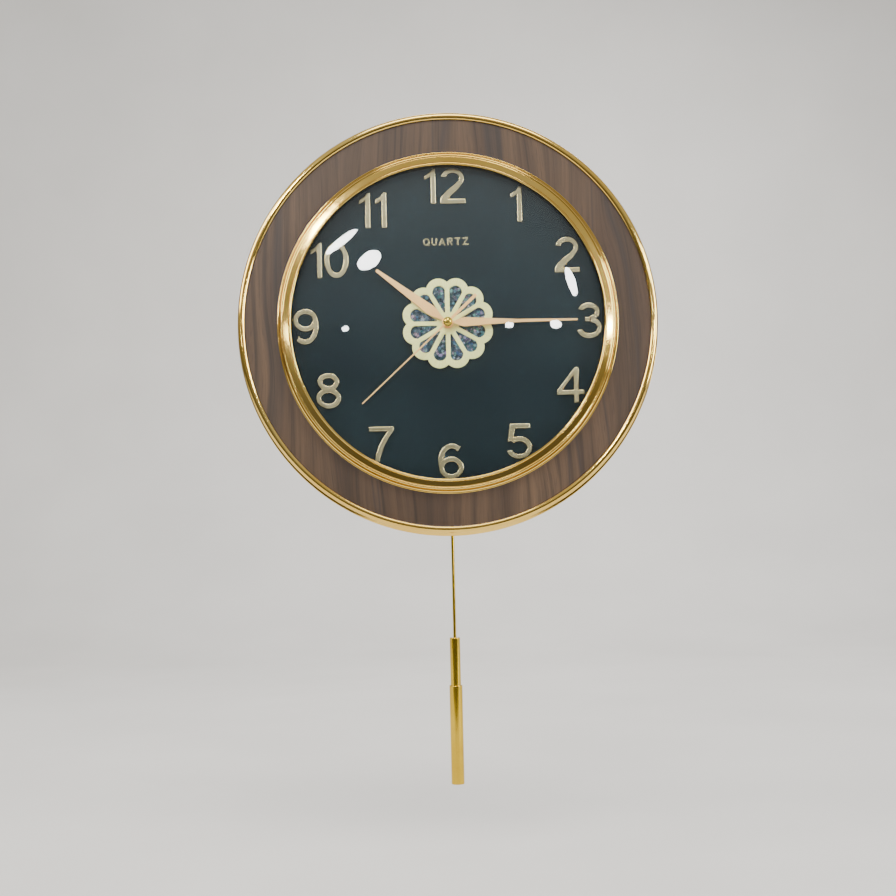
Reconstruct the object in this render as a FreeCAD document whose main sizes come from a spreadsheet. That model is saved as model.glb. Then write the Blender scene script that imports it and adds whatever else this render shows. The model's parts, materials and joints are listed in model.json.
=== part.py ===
import FreeCAD, Part

import math
import os

import Sketcher
from FreeCAD import Placement, Rotation, Vector

# Pendulum wall clock.
#
# Frame: the origin is the hanging point, the centre of the keyhole in the hanger plate, on the wall's
# surface. +Z is up, +X is to the right of somebody facing the clock, and the dial looks along -Y.
# Most pieces are round about the hands' axis, which runs along Y below the hanging point. They are
# drawn in that axis's own frame, where "out" is the distance from the wall towards the room, and are
# then lowered by hanger_height.

# Driving dimensions in millimetres and degrees. Names that end in _out are distances from the wall.
DIMENSIONS = {
    # hanging point and pendulum pivot, measured from the hands' axis
    "hanger_height": 150.0,
    "pivot_drop": 41.0,
    # gold outer rim
    "rim_lip_radius": 201.0,
    "rim_neck_radius": 197.0,
    "rim_bead_radius": 198.0,
    "rim_inner_radius": 192.2,
    "rim_bead_arc": 4.2,
    "rim_back_out": 22.0,
    "rim_lip_thickness": 2.0,
    "rim_front_out": 43.0,
    # walnut ring
    "wood_outer_radius": 191.6,
    "wood_inner_radius": 157.8,
    "wood_back_out": 36.0,
    "wood_thickness": 5.0,
    # gold inner bezel
    "bezel_outer_radius": 161.0,
    "bezel_inner_radius": 147.0,
    "bezel_sleeve_radius": 152.6,
    "bezel_sleeve_thickness": 5.0,
    "bezel_lip": 0.9,
    "bezel_crest_out": 50.0,
    # domed glass and the ring it rests on
    "glass_radius": 152.0,
    "glass_thickness": 2.5,
    "glass_rise": 18.0,
    "glass_edge_out": 47.0,
    "spacer_inner_radius": 149.6,
    # dial
    "dial_radius": 157.4,
    "dial_thickness": 2.0,
    "dial_front_out": 36.0,
    "numeral_height": 33.7,
    "numeral_stroke": 4.8,
    "numeral_thickness": 2.4,
    "numeral_circle": 130.0,
    "word_height": 7.0,
    "word_stroke": 1.25,
    "word_rise": 77.5,
    "word_spacing": 7.4,
    # rosette in the middle of the dial
    "rosette_radius": 43.4,
    "petal_radius": 11.7,
    "rosette_disc_radius": 37.9,
    "window_tip": 10.6,
    "window_tip_width": 1.2,
    "window_shoulder": 30.9,
    "window_crown": 5.4,
    "window_width": 12.3,
    "window_arc": 6.2,
    "inlay_radius": 37.4,
    "inlay_thickness": 2.0,
    "inlay_hole": 7.8,
    "rosette_thickness": 1.2,
    # hands, each with its clock angle at rest, clockwise from twelve
    "hour_length": 83.4,
    "hour_width": 9.8,
    "hour_belly": 20.0,
    "hour_tip": 2.8,
    "hour_angle": 307.5,
    "hour_out": 42.4,
    "minute_length": 121.7,
    "minute_width": 8.8,
    "minute_belly": 16.0,
    "minute_tip": 1.8,
    "minute_angle": 90.0,
    "minute_out": 45.4,
    "second_length": 110.9,
    "second_tail": 36.8,
    "second_width": 1.5,
    "second_tail_width": 3.0,
    "second_angle": 227.4,
    "second_out": 48.4,
    "hand_thickness": 0.6,
    "hub_radius": 5.3,
    "cap_radius": 4.5,
    "cap_height": 3.2,
    # concentric arbors of the hands
    "second_arbor": 0.6,
    "minute_pipe": 1.3,
    "hour_pipe": 2.1,
    "bushing_radius": 4.0,
    "running_gap": 0.05,
    # moulded back housing
    "housing_hole": 105.0,
    "housing_foot_radius": 188.0,
    "housing_wall": 3.8,
    "housing_plate_out": 31.0,
    "notch_width": 72.0,
    "notch_depth": 20.5,
    "screw_radius": 1.5,
    "screw_head_radius": 3.0,
    "screw_head": 2.0,
    "screw_slot_length": 3.2,
    "screw_slot_width": 0.6,
    "rim_screw_circle": 176.0,
    "bezel_screw_circle": 155.1,
    # hanger plate
    "plate_width": 60.0,
    "plate_height": 30.0,
    "plate_thickness": 1.5,
    "keyhole_radius": 5.0,
    "keyhole_slot": 5.0,
    "keyhole_rise": 9.0,
    "plate_screw_spread": 22.0,
    "plate_screw_head": 0.9,
    "boss_radius": 4.5,
    # movement case
    "case_width": 56.0,
    "case_top": 35.0,
    "case_bottom": 82.0,
    "case_wall": 1.6,
    "lid_back_out": 17.0,
    "lid_thickness": 2.0,
    "case_front_out": 33.2,
    "battery_height": 24.3,
    "battery_radius": 7.1,
    "battery_length": 50.5,
    "battery_out": 24.3,
    "battery_opening": 15.4,
    # rooms of the movement case, as heights above the hands' axis
    "battery_room_floor": 16.6,
    "train_room_top": 15.2,
    "train_room_floor": -31.4,
    "drive_room_top": -32.8,
    # how far out each level of the movement starts
    "arbor_back_out": 18.2,
    "seconds_wheel_out": 19.7,
    "fifth_pinion_out": 19.5,
    "seconds_pinion_out": 20.9,
    "fast_wheel_out": 21.1,
    "train_plate_out": 22.6,
    "slow_pinion_out": 23.5,
    "centre_wheel_out": 23.7,
    "cannon_pinion_out": 24.9,
    "minute_wheel_out": 25.3,
    "minute_pinion_out": 26.9,
    "hour_wheel_out": 27.3,
    "stator_out": 24.0,
    "board_out": 22.4,
    "knob_out": 13.2,
    # sizes inside the movement
    "wheel_thickness": 0.8,
    "train_plate_thickness": 0.6,
    "stator_thickness": 1.2,
    "stator_bottom": -27.2,
    "stator_slot_top": -21.9,
    "stator_slot_bottom": -24.2,
    "coil_radius": 3.4,
    "coil_left": -21.7,
    "coil_length": 25.4,
    "rotor_magnet_radius": 3.0,
    "knob_radius": 5.2,
    "knob_thickness": 3.0,
    "drive_coil_radius": 9.0,
    "drive_post_radius": 3.0,
    "drive_coil_depth": 11.0,
    # gear modules
    "rotor_module": 0.3,
    "fifth_module": 0.36,
    "third_module": 0.34,
    "centre_module": 0.36,
    "minute_module": 0.5,
    "hour_module": 0.48,
    "arbor_radius": 0.6,
    # pendulum
    "pendulum_out": 10.8,
    "pivot_radius": 1.0,
    "magnet_drop": 25.0,
    "magnet_radius": 5.0,
    "peg_drop": 43.0,
    "peg_radius": 1.2,
    "rod_radius": 1.5,
    "rod_top": 92.0,
    "upper_tube_radius": 5.0,
    "upper_tube_top": 299.3,
    "lower_tube_radius": 6.3,
    "lower_tube_top": 345.4,
    "pendulum_bottom": 440.7,
    "tube_wall": 0.8,
    "end_thickness": 2.0,
    "slug_length": 60.0,
    "slug_recess": 0.8,
}

PETALS = 12
HALF_PETAL = 15
DIAL_SCREWS = 6
RIM_SCREW_START = 15
BEZEL_SCREW_START = 45

doc = FreeCAD.newDocument("PendulumWallClock")
sheet = doc.addObject("Spreadsheet::Sheet", "Sizes")
for row, (alias, number) in enumerate(DIMENSIONS.items(), start=1):
    sheet.set(f"A{row}", alias)
    sheet.set(f"B{row}", str(number))
    sheet.setAlias(f"B{row}", alias)
doc.recompute()


class Size:
    """A size known both as a number and as the sheet expression that gives it."""

    def __init__(self, number, text):
        self.number = number
        self.text = text

    def __add__(self, other):
        return combine(self, "+", other)

    def __radd__(self, other):
        return combine(other, "+", self)

    def __sub__(self, other):
        return combine(self, "-", other)

    def __rsub__(self, other):
        return combine(other, "-", self)

    def __mul__(self, other):
        return combine(self, "*", other)

    def __rmul__(self, other):
        return combine(other, "*", self)

    def __truediv__(self, other):
        return combine(self, "/", other)

    def __neg__(self):
        return combine(0, "-", self)


def as_size(value):
    return value if isinstance(value, Size) else Size(float(value), f"{float(value):.6f}")


def combine(left, sign, right):
    first = as_size(left)
    second = as_size(right)
    numbers = {
        "+": lambda: first.number + second.number,
        "-": lambda: first.number - second.number,
        "*": lambda: first.number * second.number,
        "/": lambda: first.number / second.number,
    }
    return Size(numbers[sign](), f"({first.text} {sign} {second.text})")


def root(value):
    return Size(math.sqrt(value.number), f"sqrt({value.text})")


class Sheet:
    """The sheet's cells by name, each as a Size."""

    def __getattr__(self, alias):
        return Size(float(sheet.get(alias)), f"Sizes.{alias}")


dim = Sheet()
cuts = []


def bind(thing, prop, value):
    """Sets a property, and ties it to the sheet where its size comes from there."""
    size = as_size(value)
    setattr(thing, prop, size.number)
    if isinstance(value, Size):
        thing.setExpression(prop, size.text)


def new_body(label):
    body = doc.addObject("PartDesign::Body", label)
    body.Label = label
    return body


def new_sketch(body, name, role, out=0, turn=0, flip=False):
    """A sketch on one of the body's own planes.

    On XZ_Plane, x is right, y is up and out is the distance from the wall. On XY_Plane with flip,
    x is a radius and y is the distance from the wall.
    """
    sketch = body.newObject("Sketcher::SketchObject", f"{body.Label}_{name}")
    plane = next(o for o in body.Origin.OriginFeatures if o.Role == role)
    sketch.AttachmentSupport = [(plane, "")]
    sketch.MapMode = "FlatFace"
    axis, angle = (Vector(1, 0, 0), 180) if flip else (Vector(0, 0, 1), turn)
    sketch.AttachmentOffset = Placement(Vector(0, 0, as_size(out).number), Rotation(axis, angle))
    if isinstance(out, Size):
        sketch.setExpression("AttachmentOffset.Base.z", out.text)
    return sketch


def fix_point(sketch, edge, end, x, y):
    """Holds one end of an edge at a place that the sheet gives."""
    for kind, value in (("DistanceX", as_size(x)), ("DistanceY", as_size(y))):
        index = sketch.addConstraint(Sketcher.Constraint(kind, -1, 1, edge, end, value.number))
        sketch.setExpression(f"Constraints[{index}]", value.text)


def arc_between(start, finish, radius):
    """The arc from start to finish. A positive radius bulges to the right of the way it runs."""
    (x1, y1), (x2, y2) = start, finish
    chord = math.hypot(x2 - x1, y2 - y1)
    reach = math.sqrt(max(radius * radius - chord * chord / 4, 0))
    side = 1 if radius > 0 else -1
    centre = Vector(
        (x1 + x2) / 2 - side * reach * (y2 - y1) / chord,
        (y1 + y2) / 2 + side * reach * (x2 - x1) / chord,
        0,
    )
    first = math.atan2(y1 - centre.y, x1 - centre.x)
    last = math.atan2(y2 - centre.y, x2 - centre.x)
    if side < 0:
        first, last = last, first
    circle = Part.Circle(centre, Vector(0, 0, 1), abs(radius))
    return Part.ArcOfCircle(circle, first, last if last > first else last + 2 * math.pi)


def draw_outline(sketch, points):
    """A closed outline. A point is (x, y), or (x, y, radius) where an arc runs on from it."""
    places = [(as_size(p[0]).number, as_size(p[1]).number) for p in points]
    edges = []
    for index, point in enumerate(points):
        start = places[index]
        finish = places[(index + 1) % len(points)]
        if len(point) == 3:
            radius = as_size(point[2])
            edge = sketch.addGeometry(arc_between(start, finish, radius.number))
            ends = (1, 2) if radius.number > 0 else (2, 1)
            held = sketch.addConstraint(
                Sketcher.Constraint("Radius", edge, abs(radius.number))
            )
            text = radius.text if radius.number > 0 else (-radius).text
            sketch.setExpression(f"Constraints[{held}]", text)
        else:
            line = Part.LineSegment(Vector(*start, 0), Vector(*finish, 0))
            edge = sketch.addGeometry(line)
            ends = (1, 2)
        edges.append((edge, *ends))
    for index, (edge, start, finish) in enumerate(edges):
        fix_point(sketch, edge, start, *points[index][:2])
        following, its_start, _ = edges[(index + 1) % len(edges)]
        sketch.addConstraint(
            Sketcher.Constraint("Coincident", edge, finish, following, its_start)
        )


def draw_box(sketch, left, bottom, right, top):
    draw_outline(sketch, [(left, bottom), (right, bottom), (right, top), (left, top)])


def draw_circle(sketch, x, y, radius):
    size = as_size(radius)
    place = Vector(as_size(x).number, as_size(y).number, 0)
    edge = sketch.addGeometry(Part.Circle(place, Vector(0, 0, 1), size.number))
    index = sketch.addConstraint(Sketcher.Constraint("Radius", edge, size.number))
    sketch.setExpression(f"Constraints[{index}]", size.text)
    fix_point(sketch, edge, 3, x, y)


def pad(body, sketch, length):
    """Adds material from the sketch towards the room."""
    feature = body.newObject("PartDesign::Pad", f"{sketch.Name}_pad")
    feature.Profile = sketch
    bind(feature, "Length", length)
    return feature


def cut(body, sketch, length):
    """Cuts from the sketch towards the room."""
    before = body.Tip
    feature = body.newObject("PartDesign::Pocket", f"{sketch.Name}_cut")
    feature.Profile = sketch
    feature.Reversed = True
    bind(feature, "Length", length)
    cuts.append((before, feature))
    return feature


def repeat_around(body, feature, sketch, count):
    """Repeats a feature evenly around the sketch's own origin."""
    pattern = body.newObject("PartDesign::PolarPattern", f"{feature.Name}_ring")
    pattern.Originals = [feature]
    pattern.Axis = (sketch, ["N_Axis"])
    pattern.Angle = 360
    pattern.Occurrences = count
    body.Tip = pattern
    return pattern


def add_disc(body, name, radius, out, thickness, hole=None, x=0, z=0):
    sketch = new_sketch(body, name, "XZ_Plane", out)
    draw_circle(sketch, x, z, radius)
    if hole is not None:
        draw_circle(sketch, x, z, hole)
    return pad(body, sketch, thickness)


def add_box(body, name, left, bottom, right, top, out, thickness):
    sketch = new_sketch(body, name, "XZ_Plane", out)
    draw_box(sketch, left, bottom, right, top)
    return pad(body, sketch, thickness)


def cut_disc(body, name, radius, out, depth, x=0, z=0):
    sketch = new_sketch(body, name, "XZ_Plane", out)
    draw_circle(sketch, x, z, radius)
    return cut(body, sketch, depth)


def cut_box(body, name, left, bottom, right, top, out, depth):
    sketch = new_sketch(body, name, "XZ_Plane", out)
    draw_box(sketch, left, bottom, right, top)
    return cut(body, sketch, depth)


def cut_circle_of_holes(body, name, radius, circle, start, out, depth):
    """Screw holes on a circle about the hands' axis, the first at angle start."""
    sketch = new_sketch(body, name, "XZ_Plane", out, turn=start)
    draw_circle(sketch, circle, 0, radius)
    hole = cut(body, sketch, depth)
    return repeat_around(body, hole, sketch, DIAL_SCREWS)


def turned(label, profile):
    """A body revolved about the hands' axis. The profile's points are (radius, out)."""
    body = new_body(label)
    sketch = new_sketch(body, "profile", "XY_Plane", flip=True)
    draw_outline(sketch, profile)
    feature = body.newObject("PartDesign::Revolution", f"{label}_turn")
    feature.Profile = sketch
    feature.ReferenceAxis = (sketch, ["V_Axis"])
    feature.Angle = 360
    return body


def place(thing, x=0, z=0, turn=0):
    """Moves a piece from the hands' axis to its place below the hanging point."""
    turn = as_size(turn)
    x = as_size(x)
    height = as_size(z) - dim.hanger_height
    thing.Placement = Placement(
        Vector(x.number, 0, height.number), Rotation(Vector(0, 1, 0), turn.number)
    )
    thing.setExpression("Placement.Base.x", x.text)
    thing.setExpression("Placement.Base.z", height.text)
    if turn.number:
        thing.setExpression("Placement.Rotation.Angle", turn.text)
    return thing


# Gold outer rim: a shallow crowned front band, a neck and a thin lip that stands out behind it.


def outer_rim():
    lip_front = dim.rim_back_out + dim.rim_lip_thickness
    profile = [
        (dim.wood_outer_radius + 0.1, dim.rim_back_out),
        (dim.rim_lip_radius, dim.rim_back_out),
        (dim.rim_lip_radius, lip_front),
        (dim.rim_neck_radius + 0.6, lip_front + 0.6),
        (dim.rim_neck_radius, lip_front + 2),
        (dim.rim_neck_radius, dim.rim_front_out - 3),
        (dim.rim_bead_radius, dim.rim_front_out - 1.5, dim.rim_bead_arc),
        (dim.rim_inner_radius, dim.rim_front_out),
        (dim.wood_outer_radius + 0.1, dim.rim_front_out - 0.6),
    ]
    return place(turned("outer_rim", profile))


def wood_ring():
    body = new_body("wood_ring")
    add_disc(
        body, "blank", dim.wood_outer_radius, dim.wood_back_out, dim.wood_thickness,
        hole=dim.wood_inner_radius,
    )
    cut_circle_of_holes(
        body, "screw_holes", dim.screw_radius, dim.rim_screw_circle, RIM_SCREW_START,
        dim.wood_back_out, 3.4,
    )
    return place(body)


def inner_bezel():
    """Sleeve through the wood ring, a foot on the wood, a cove, a ridge, a flat band and a bead."""
    wood_front = dim.wood_back_out + dim.wood_thickness
    sleeve_outer = dim.bezel_sleeve_radius + dim.bezel_sleeve_thickness
    sleeve_back = dim.dial_front_out + 0.4
    crest = dim.bezel_crest_out
    profile = [
        (dim.bezel_sleeve_radius, sleeve_back),
        (sleeve_outer, sleeve_back),
        (sleeve_outer, wood_front + 0.05),
        (dim.bezel_outer_radius, wood_front + 0.05),
        (dim.bezel_outer_radius, wood_front + dim.bezel_lip, 0.7),
        (dim.bezel_outer_radius - 1.2, wood_front + dim.bezel_lip + 0.3, -4.2),
        (dim.bezel_outer_radius - 3.6, crest - 4.2),
        (dim.bezel_outer_radius - 3.6, crest - 2.6, 1.35),
        (dim.bezel_outer_radius - 6.0, crest - 1.8),
        (dim.bezel_outer_radius - 6.4, crest - 0.9),
        (dim.bezel_inner_radius + 2.4, crest - 0.2),
        (dim.bezel_inner_radius + 2.0, crest - 0.5),
        (dim.bezel_inner_radius + 1.9, crest - 0.1, 1.1),
        (dim.bezel_inner_radius, crest - 0.9),
        (dim.bezel_inner_radius, dim.glass_edge_out + 1.3),
        (dim.bezel_sleeve_radius, dim.glass_edge_out + 0.15),
    ]
    body = turned("inner_bezel", profile)
    cut_circle_of_holes(
        body, "screw_holes", dim.screw_radius, dim.bezel_screw_circle, BEZEL_SCREW_START,
        sleeve_back, 6,
    )
    return place(body)


# Domed glass: a slice of a sphere, resting on a black ring that stands on the dial.


def glass_sphere():
    """Radius of the outer sphere, and how far in front of the wall its centre is (behind, so < 0)."""
    spread = dim.glass_radius * dim.glass_radius + dim.glass_rise * dim.glass_rise
    sphere = spread / (2 * dim.glass_rise)
    return sphere, dim.glass_edge_out + dim.glass_rise - sphere


def glass_inner_edge():
    sphere, centre = glass_sphere()
    inner = sphere - dim.glass_thickness
    return centre + root(inner * inner - dim.glass_radius * dim.glass_radius)


def dome_glass():
    sphere, _ = glass_sphere()
    apex = dim.glass_edge_out + dim.glass_rise
    profile = [
        (0, apex - dim.glass_thickness, -(sphere - dim.glass_thickness)),
        (dim.glass_radius, glass_inner_edge()),
        (dim.glass_radius, dim.glass_edge_out, sphere),
        (0, apex),
    ]
    return place(turned("dome_glass", profile))


def glass_spacer_ring():
    body = new_body("glass_spacer_ring")
    height = glass_inner_edge() - dim.dial_front_out
    add_disc(
        body, "ring", dim.glass_radius, dim.dial_front_out, height, hole=dim.spacer_inner_radius
    )
    return place(body)


# Dial and what is fixed on its front.


def dial_plate():
    body = new_body("dial_plate")
    back = dim.dial_front_out - dim.dial_thickness
    add_disc(body, "disc", dim.dial_radius, back, dim.dial_thickness, hole=dim.bushing_radius + 0.1)
    cut_circle_of_holes(
        body, "screw_holes", dim.screw_radius + 0.1, dim.bezel_screw_circle,
        BEZEL_SCREW_START, back, dim.dial_thickness,
    )
    return place(body)


def flat_face(points):
    """A flat polygon."""
    corners = [Vector(x, y, 0) for x, y in points]
    return Part.Face(Part.makePolygon(corners + corners[:1]))


def box_face(left, bottom, right, top):
    return flat_face([(left, bottom), (right, bottom), (right, top), (left, top)])


def oval_face(x, y, across, up):
    """A full ellipse with half-widths across and up."""
    centre = Vector(x, y, 0)
    if across > up:
        curve = Part.Ellipse(Vector(x + across, y, 0), Vector(x, y + up, 0), centre)
    else:
        curve = Part.Ellipse(Vector(x, y + up, 0), Vector(x - across, y, 0), centre)
    return Part.Face(Part.Wire(curve.toShape()))


def bow(x, y, across, up, stroke, start=0, sweep=360):
    """A stroke bent along an ellipse, from angle start through sweep degrees."""
    ring = oval_face(x, y, across, up).cut(oval_face(x, y, across - stroke, up - stroke))
    if sweep >= 360:
        return ring
    reach = 3 * max(across, up)
    steps = math.ceil(sweep / 60)
    fan = [(x, y)]
    for step in range(steps + 1):
        angle = math.radians(start + sweep * step / steps)
        fan.append((x + reach * math.cos(angle), y + reach * math.sin(angle)))
    return ring.common(flat_face(fan))


def bar(x1, y1, x2, y2, stroke):
    """A straight stroke between two points."""
    length = math.hypot(x2 - x1, y2 - y1)
    side_x = -(y2 - y1) / length * stroke / 2
    side_y = (x2 - x1) / length * stroke / 2
    return flat_face(
        [
            (x1 - side_x, y1 - side_y),
            (x2 - side_x, y2 - side_y),
            (x2 + side_x, y2 + side_y),
            (x1 + side_x, y1 + side_y),
        ]
    )


def digit(number):
    """The strokes of a digit about its own centre, 33.7 mm high with 4.8 mm strokes."""
    high = dim.numeral_height.number / 2
    stroke = dim.numeral_stroke.number
    low = -high
    if number == 0:
        return [bow(0, 0, 11.5, high, stroke)]
    if number == 1:
        flag = [(5.4, low), (5.4, high), (2.4, high), (-0.4, 13.0), (-5.4, 9.9)]
        return [flat_face([*flag, (-5.4, 5.8), (-2.4, 7.2), (0.6, 9.4), (0.6, low)])]
    if number == 2:
        neck = [(9.4, 2.1), (5.4, -3.4), (-0.4, -8.2), (-4.6, -12.5), (-11.9, -12.5)]
        neck += [(-10.2, -9.2), (-4.8, -4.0), (1.2, 0.4), (5.2, 4.4)]
        hook = bow(0, high - 9.75, 11, 9.75, stroke, -28, 200)
        return [hook, flat_face(neck), box_face(-11.9, low, 11.9, -12.4)]
    if number == 3:
        upper = bow(-0.7, high - 8.65, 10.6, 8.65, stroke, -75, 240)
        lower = bow(-0.2, low + 9.95, 12.2, 9.95, stroke, -170, 250)
        return [upper, lower, box_face(-4.4, -0.9, 0.4, 3.2)]
    if number == 4:
        outline = [(2.9, low), (7.7, low), (7.7, -8.9), (13.1, -8.9), (13.1, -4.5), (7.7, -4.5)]
        outline += [(7.7, high), (3.8, high), (-13.1, -4.8), (-13.1, -8.9), (2.9, -8.9)]
        return [flat_face(outline).cut(flat_face([(2.9, -4.5), (2.9, 9.8), (-8.0, -4.5)]))]
    if number == 5:
        stem = flat_face([(-8.6, high), (-3.6, 12.3), (-5.3, 4.4), (-6.4, 0.8), (-11, -0.4)])
        bowl = bow(-0.1, low + 10.85, 12.2, 10.85, stroke, -165, 305)
        return [box_face(-8.6, 12.3, 10.4, high), stem, bowl]
    if number == 6:
        back = bow(1.2, 0, 13.3, high, stroke, 58, 150)
        return [back, bow(0.4, low + 10.65, 11.7, 10.65, stroke)]
    if number == 7:
        leg = [(11.85, high), (11.85, 12.8), (6.6, 6.0), (2.0, -2.6), (-0.9, -11), (-1.9, low)]
        leg += [(-6.9, low), (-5.8, -10.4), (-2.6, -1.4), (1.8, 6.4), (6.0, 12.3)]
        return [flat_face([(-11.85, high), *leg, (-11.85, 12.3)])]
    if number == 8:
        upper = bow(0, high - 8.45, 10.3, 8.45, stroke)
        return [upper, bow(0, low + 9.85, 11.85, 9.85, stroke)]
    turned_six = Placement(Vector(0, 0, 0), Rotation(Vector(0, 0, 1), 180))
    return [face.transformGeometry(turned_six.Matrix) for face in digit(6)]


def raised(faces, thickness):
    """One flat-topped solid from overlapping faces."""
    joined = faces[0].fuse(faces[1:]).removeSplitter() if len(faces) > 1 else faces[0]
    return joined.extrude(Vector(0, 0, thickness))


def shifted(shape, x, y=0):
    moved = shape.copy()
    moved.translate(Vector(x, y, 0))
    return moved


def relief(label, shape, x, z):
    """A raised shape that stands on the front of the dial."""
    feature = doc.addObject("Part::Feature", label)
    feature.Label = label
    feature.Shape = shape
    out = dim.dial_front_out.number
    height = z - dim.hanger_height.number
    feature.Placement = Placement(Vector(x, -out, height), Rotation(Vector(1, 0, 0), 90))
    return feature


# How far some hours stand to the right of and above their even places, in millimetres.
HOUR_NUDGE = {
    1: (2.2, -1.2), 2: (1.5, -2.3), 4: (2.1, 4.3), 8: (-1.4, 4.0), 10: (-1.2, -0.8), 11: (-3.3, -4.2)
}


def numeral(hour):
    """The digits of an hour, upright, centred on the numeral circle."""
    thickness = dim.numeral_thickness.number
    spread = {10: (-12.6, 6.6), 11: (-7.9, 7.6), 12: (-13.9, 7.4)}.get(hour, (0,))
    digits = [int(figure) for figure in str(hour)]
    solids = [
        shifted(raised(digit(number), thickness), offset)
        for number, offset in zip(digits, spread)
    ]
    shape = solids[0] if len(solids) == 1 else Part.makeCompound(solids)
    circle = dim.numeral_circle.number + {3: 4, 9: 4, 10: -4}.get(hour, 0)
    angle = math.radians(30 * hour)
    right, up = HOUR_NUDGE.get(hour, (0, 0))
    return relief(
        f"numeral_{hour}", shape, circle * math.sin(angle) + right, circle * math.cos(angle) + up
    )


def letter(name):
    """A capital's strokes about its own centre."""
    top = dim.word_height.number / 2
    stroke = dim.word_stroke.number
    half = stroke / 2
    side = 2.5 - half
    leg = box_face(-2.5, -top, -2.5 + stroke, top)
    cross_bar = box_face(-2.5, top - stroke, 2.5, top)
    strokes = {
        "Q": lambda: [bow(0, 0, 3.1, top, stroke), bar(0.8, -1.2, 3.0, -3.6, stroke)],
        "U": lambda: [
            box_face(-2.5, -1, -2.5 + stroke, top),
            box_face(2.5 - stroke, -1, 2.5, top),
            bow(0, -1, 2.5, top - 1, stroke, 180, 180),
        ],
        "A": lambda: [
            bar(-2.6, -top, 0, top - half, stroke),
            bar(2.6, -top, 0, top - half, stroke),
            box_face(-1.8, -1.9, 1.8, -1.9 + stroke),
        ],
        "R": lambda: [
            leg,
            box_face(-2.5, top - stroke, 0.6, top),
            box_face(-2.5, -0.5, 0.6, -0.5 + stroke),
            bow(0.6, (top - 0.5) / 2, 2.0, (top + 0.5) / 2, stroke, -90, 180),
            bar(0, 0, 2.3, -top, stroke),
        ],
        "T": lambda: [cross_bar, box_face(-half, -top, half, top)],
        "Z": lambda: [
            cross_bar,
            box_face(-2.5, -top, 2.5, -top + stroke),
            bar(-side, -top + half, side, top - half, stroke),
        ],
    }
    return strokes[name]()


def dial_word():
    """The plain word for the kind of movement, above the rosette."""
    word = "QUARTZ"
    spacing = dim.word_spacing.number
    first = -spacing * (len(word) - 1) / 2
    solids = [
        shifted(raised(letter(name), 0.6), first + spacing * index)
        for index, name in enumerate(word)
    ]
    return relief("dial_word", Part.makeCompound(solids), 0, dim.word_rise.number)


def rosette_inlay():
    body = new_body("rosette_inlay")
    add_disc(
        body, "disc", dim.inlay_radius, dim.dial_front_out, dim.inlay_thickness,
        hole=dim.inlay_hole,
    )
    return place(body)


def rosette_frame():
    """Twelve petals with a window in each, and a hub that hides the nut."""
    body = new_body("rosette_frame")
    out = dim.dial_front_out + dim.inlay_thickness
    thickness = dim.rosette_thickness
    add_disc(body, "disc", dim.rosette_disc_radius, out, thickness)
    petal = new_sketch(body, "petal", "XZ_Plane", out, turn=HALF_PETAL)
    draw_circle(petal, dim.rosette_radius - dim.petal_radius, 0, dim.petal_radius)
    repeat_around(body, pad(body, petal, thickness), petal, PETALS)
    window = new_sketch(body, "window", "XZ_Plane", out, turn=HALF_PETAL)
    half_tip = dim.window_tip_width / 2
    half_top = dim.window_width / 2
    draw_outline(
        window,
        [
            (dim.window_tip, -half_tip),
            (dim.window_shoulder, -half_top, dim.window_arc),
            (dim.window_shoulder + dim.window_crown, 0, dim.window_arc),
            (dim.window_shoulder, half_top),
            (dim.window_tip, half_tip),
        ],
    )
    repeat_around(body, cut(body, window, thickness), window, PETALS)
    cut_disc(body, "bore", dim.bushing_radius + 0.1, out, thickness)
    return place(body)


# Hands, drawn pointing at twelve and turned to the time shown.


def hand_blade(body, out, points):
    """A flat blade, the same both sides of its middle. Points are (half width, distance)."""
    sketch = new_sketch(body, "blade", "XZ_Plane", out)
    right = list(points)
    left = [(-as_size(half), reach) for half, reach in reversed(points)]
    draw_outline(sketch, right + left)
    return pad(body, sketch, dim.hand_thickness)


def hour_hand():
    body = new_body("hour_hand")
    hand_blade(
        body, dim.hour_out,
        [
            (1.4, 2.6),
            (1.5, dim.hub_radius + 2.2),
            (dim.hour_width / 2 - 0.8, dim.hour_belly - 4.5),
            (dim.hour_width / 2, dim.hour_belly),
            (dim.hour_tip / 2, dim.hour_length),
        ],
    )
    add_disc(body, "hub", dim.hub_radius, dim.hour_out, dim.hand_thickness)
    add_disc(body, "collet", dim.hour_pipe + 1, dim.hour_out - 1.2, 1.8)
    cut_disc(body, "bore", dim.hour_pipe, dim.hour_out - 1.2, 3)
    return place(body, turn=dim.hour_angle)


def minute_hand():
    body = new_body("minute_hand")
    hand_blade(
        body, dim.minute_out,
        [
            (1.2, 2.2),
            (1.3, dim.hub_radius + 1.2),
            (dim.minute_width / 2 - 0.7, dim.minute_belly - 3.6),
            (dim.minute_width / 2, dim.minute_belly),
            (1.6, 65),
            (dim.minute_tip / 2, dim.minute_length),
        ],
    )
    add_disc(body, "hub", dim.hub_radius - 0.4, dim.minute_out, dim.hand_thickness)
    add_disc(body, "collet", dim.minute_pipe + 1, dim.minute_out - 1.2, 1.8)
    cut_disc(body, "bore", dim.minute_pipe, dim.minute_out - 1.2, 3)
    return place(body, turn=dim.minute_angle)


def second_hand():
    body = new_body("second_hand")
    half = dim.second_width / 2
    tail = dim.second_tail_width / 2
    hand_blade(
        body, dim.second_out,
        [
            (tail, -dim.second_tail),
            (tail - 0.2, -6),
            (half, 6),
            (half - 0.2, dim.second_length),
        ],
    )
    add_disc(body, "hub", dim.cap_radius - 0.5, dim.second_out, dim.hand_thickness)
    add_disc(body, "collet", dim.second_arbor + 0.9, dim.second_out - 1.4, 2.6)
    cut_disc(body, "bore", dim.second_arbor, dim.second_out - 1.4, 3)
    return place(body, turn=dim.second_angle)


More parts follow.
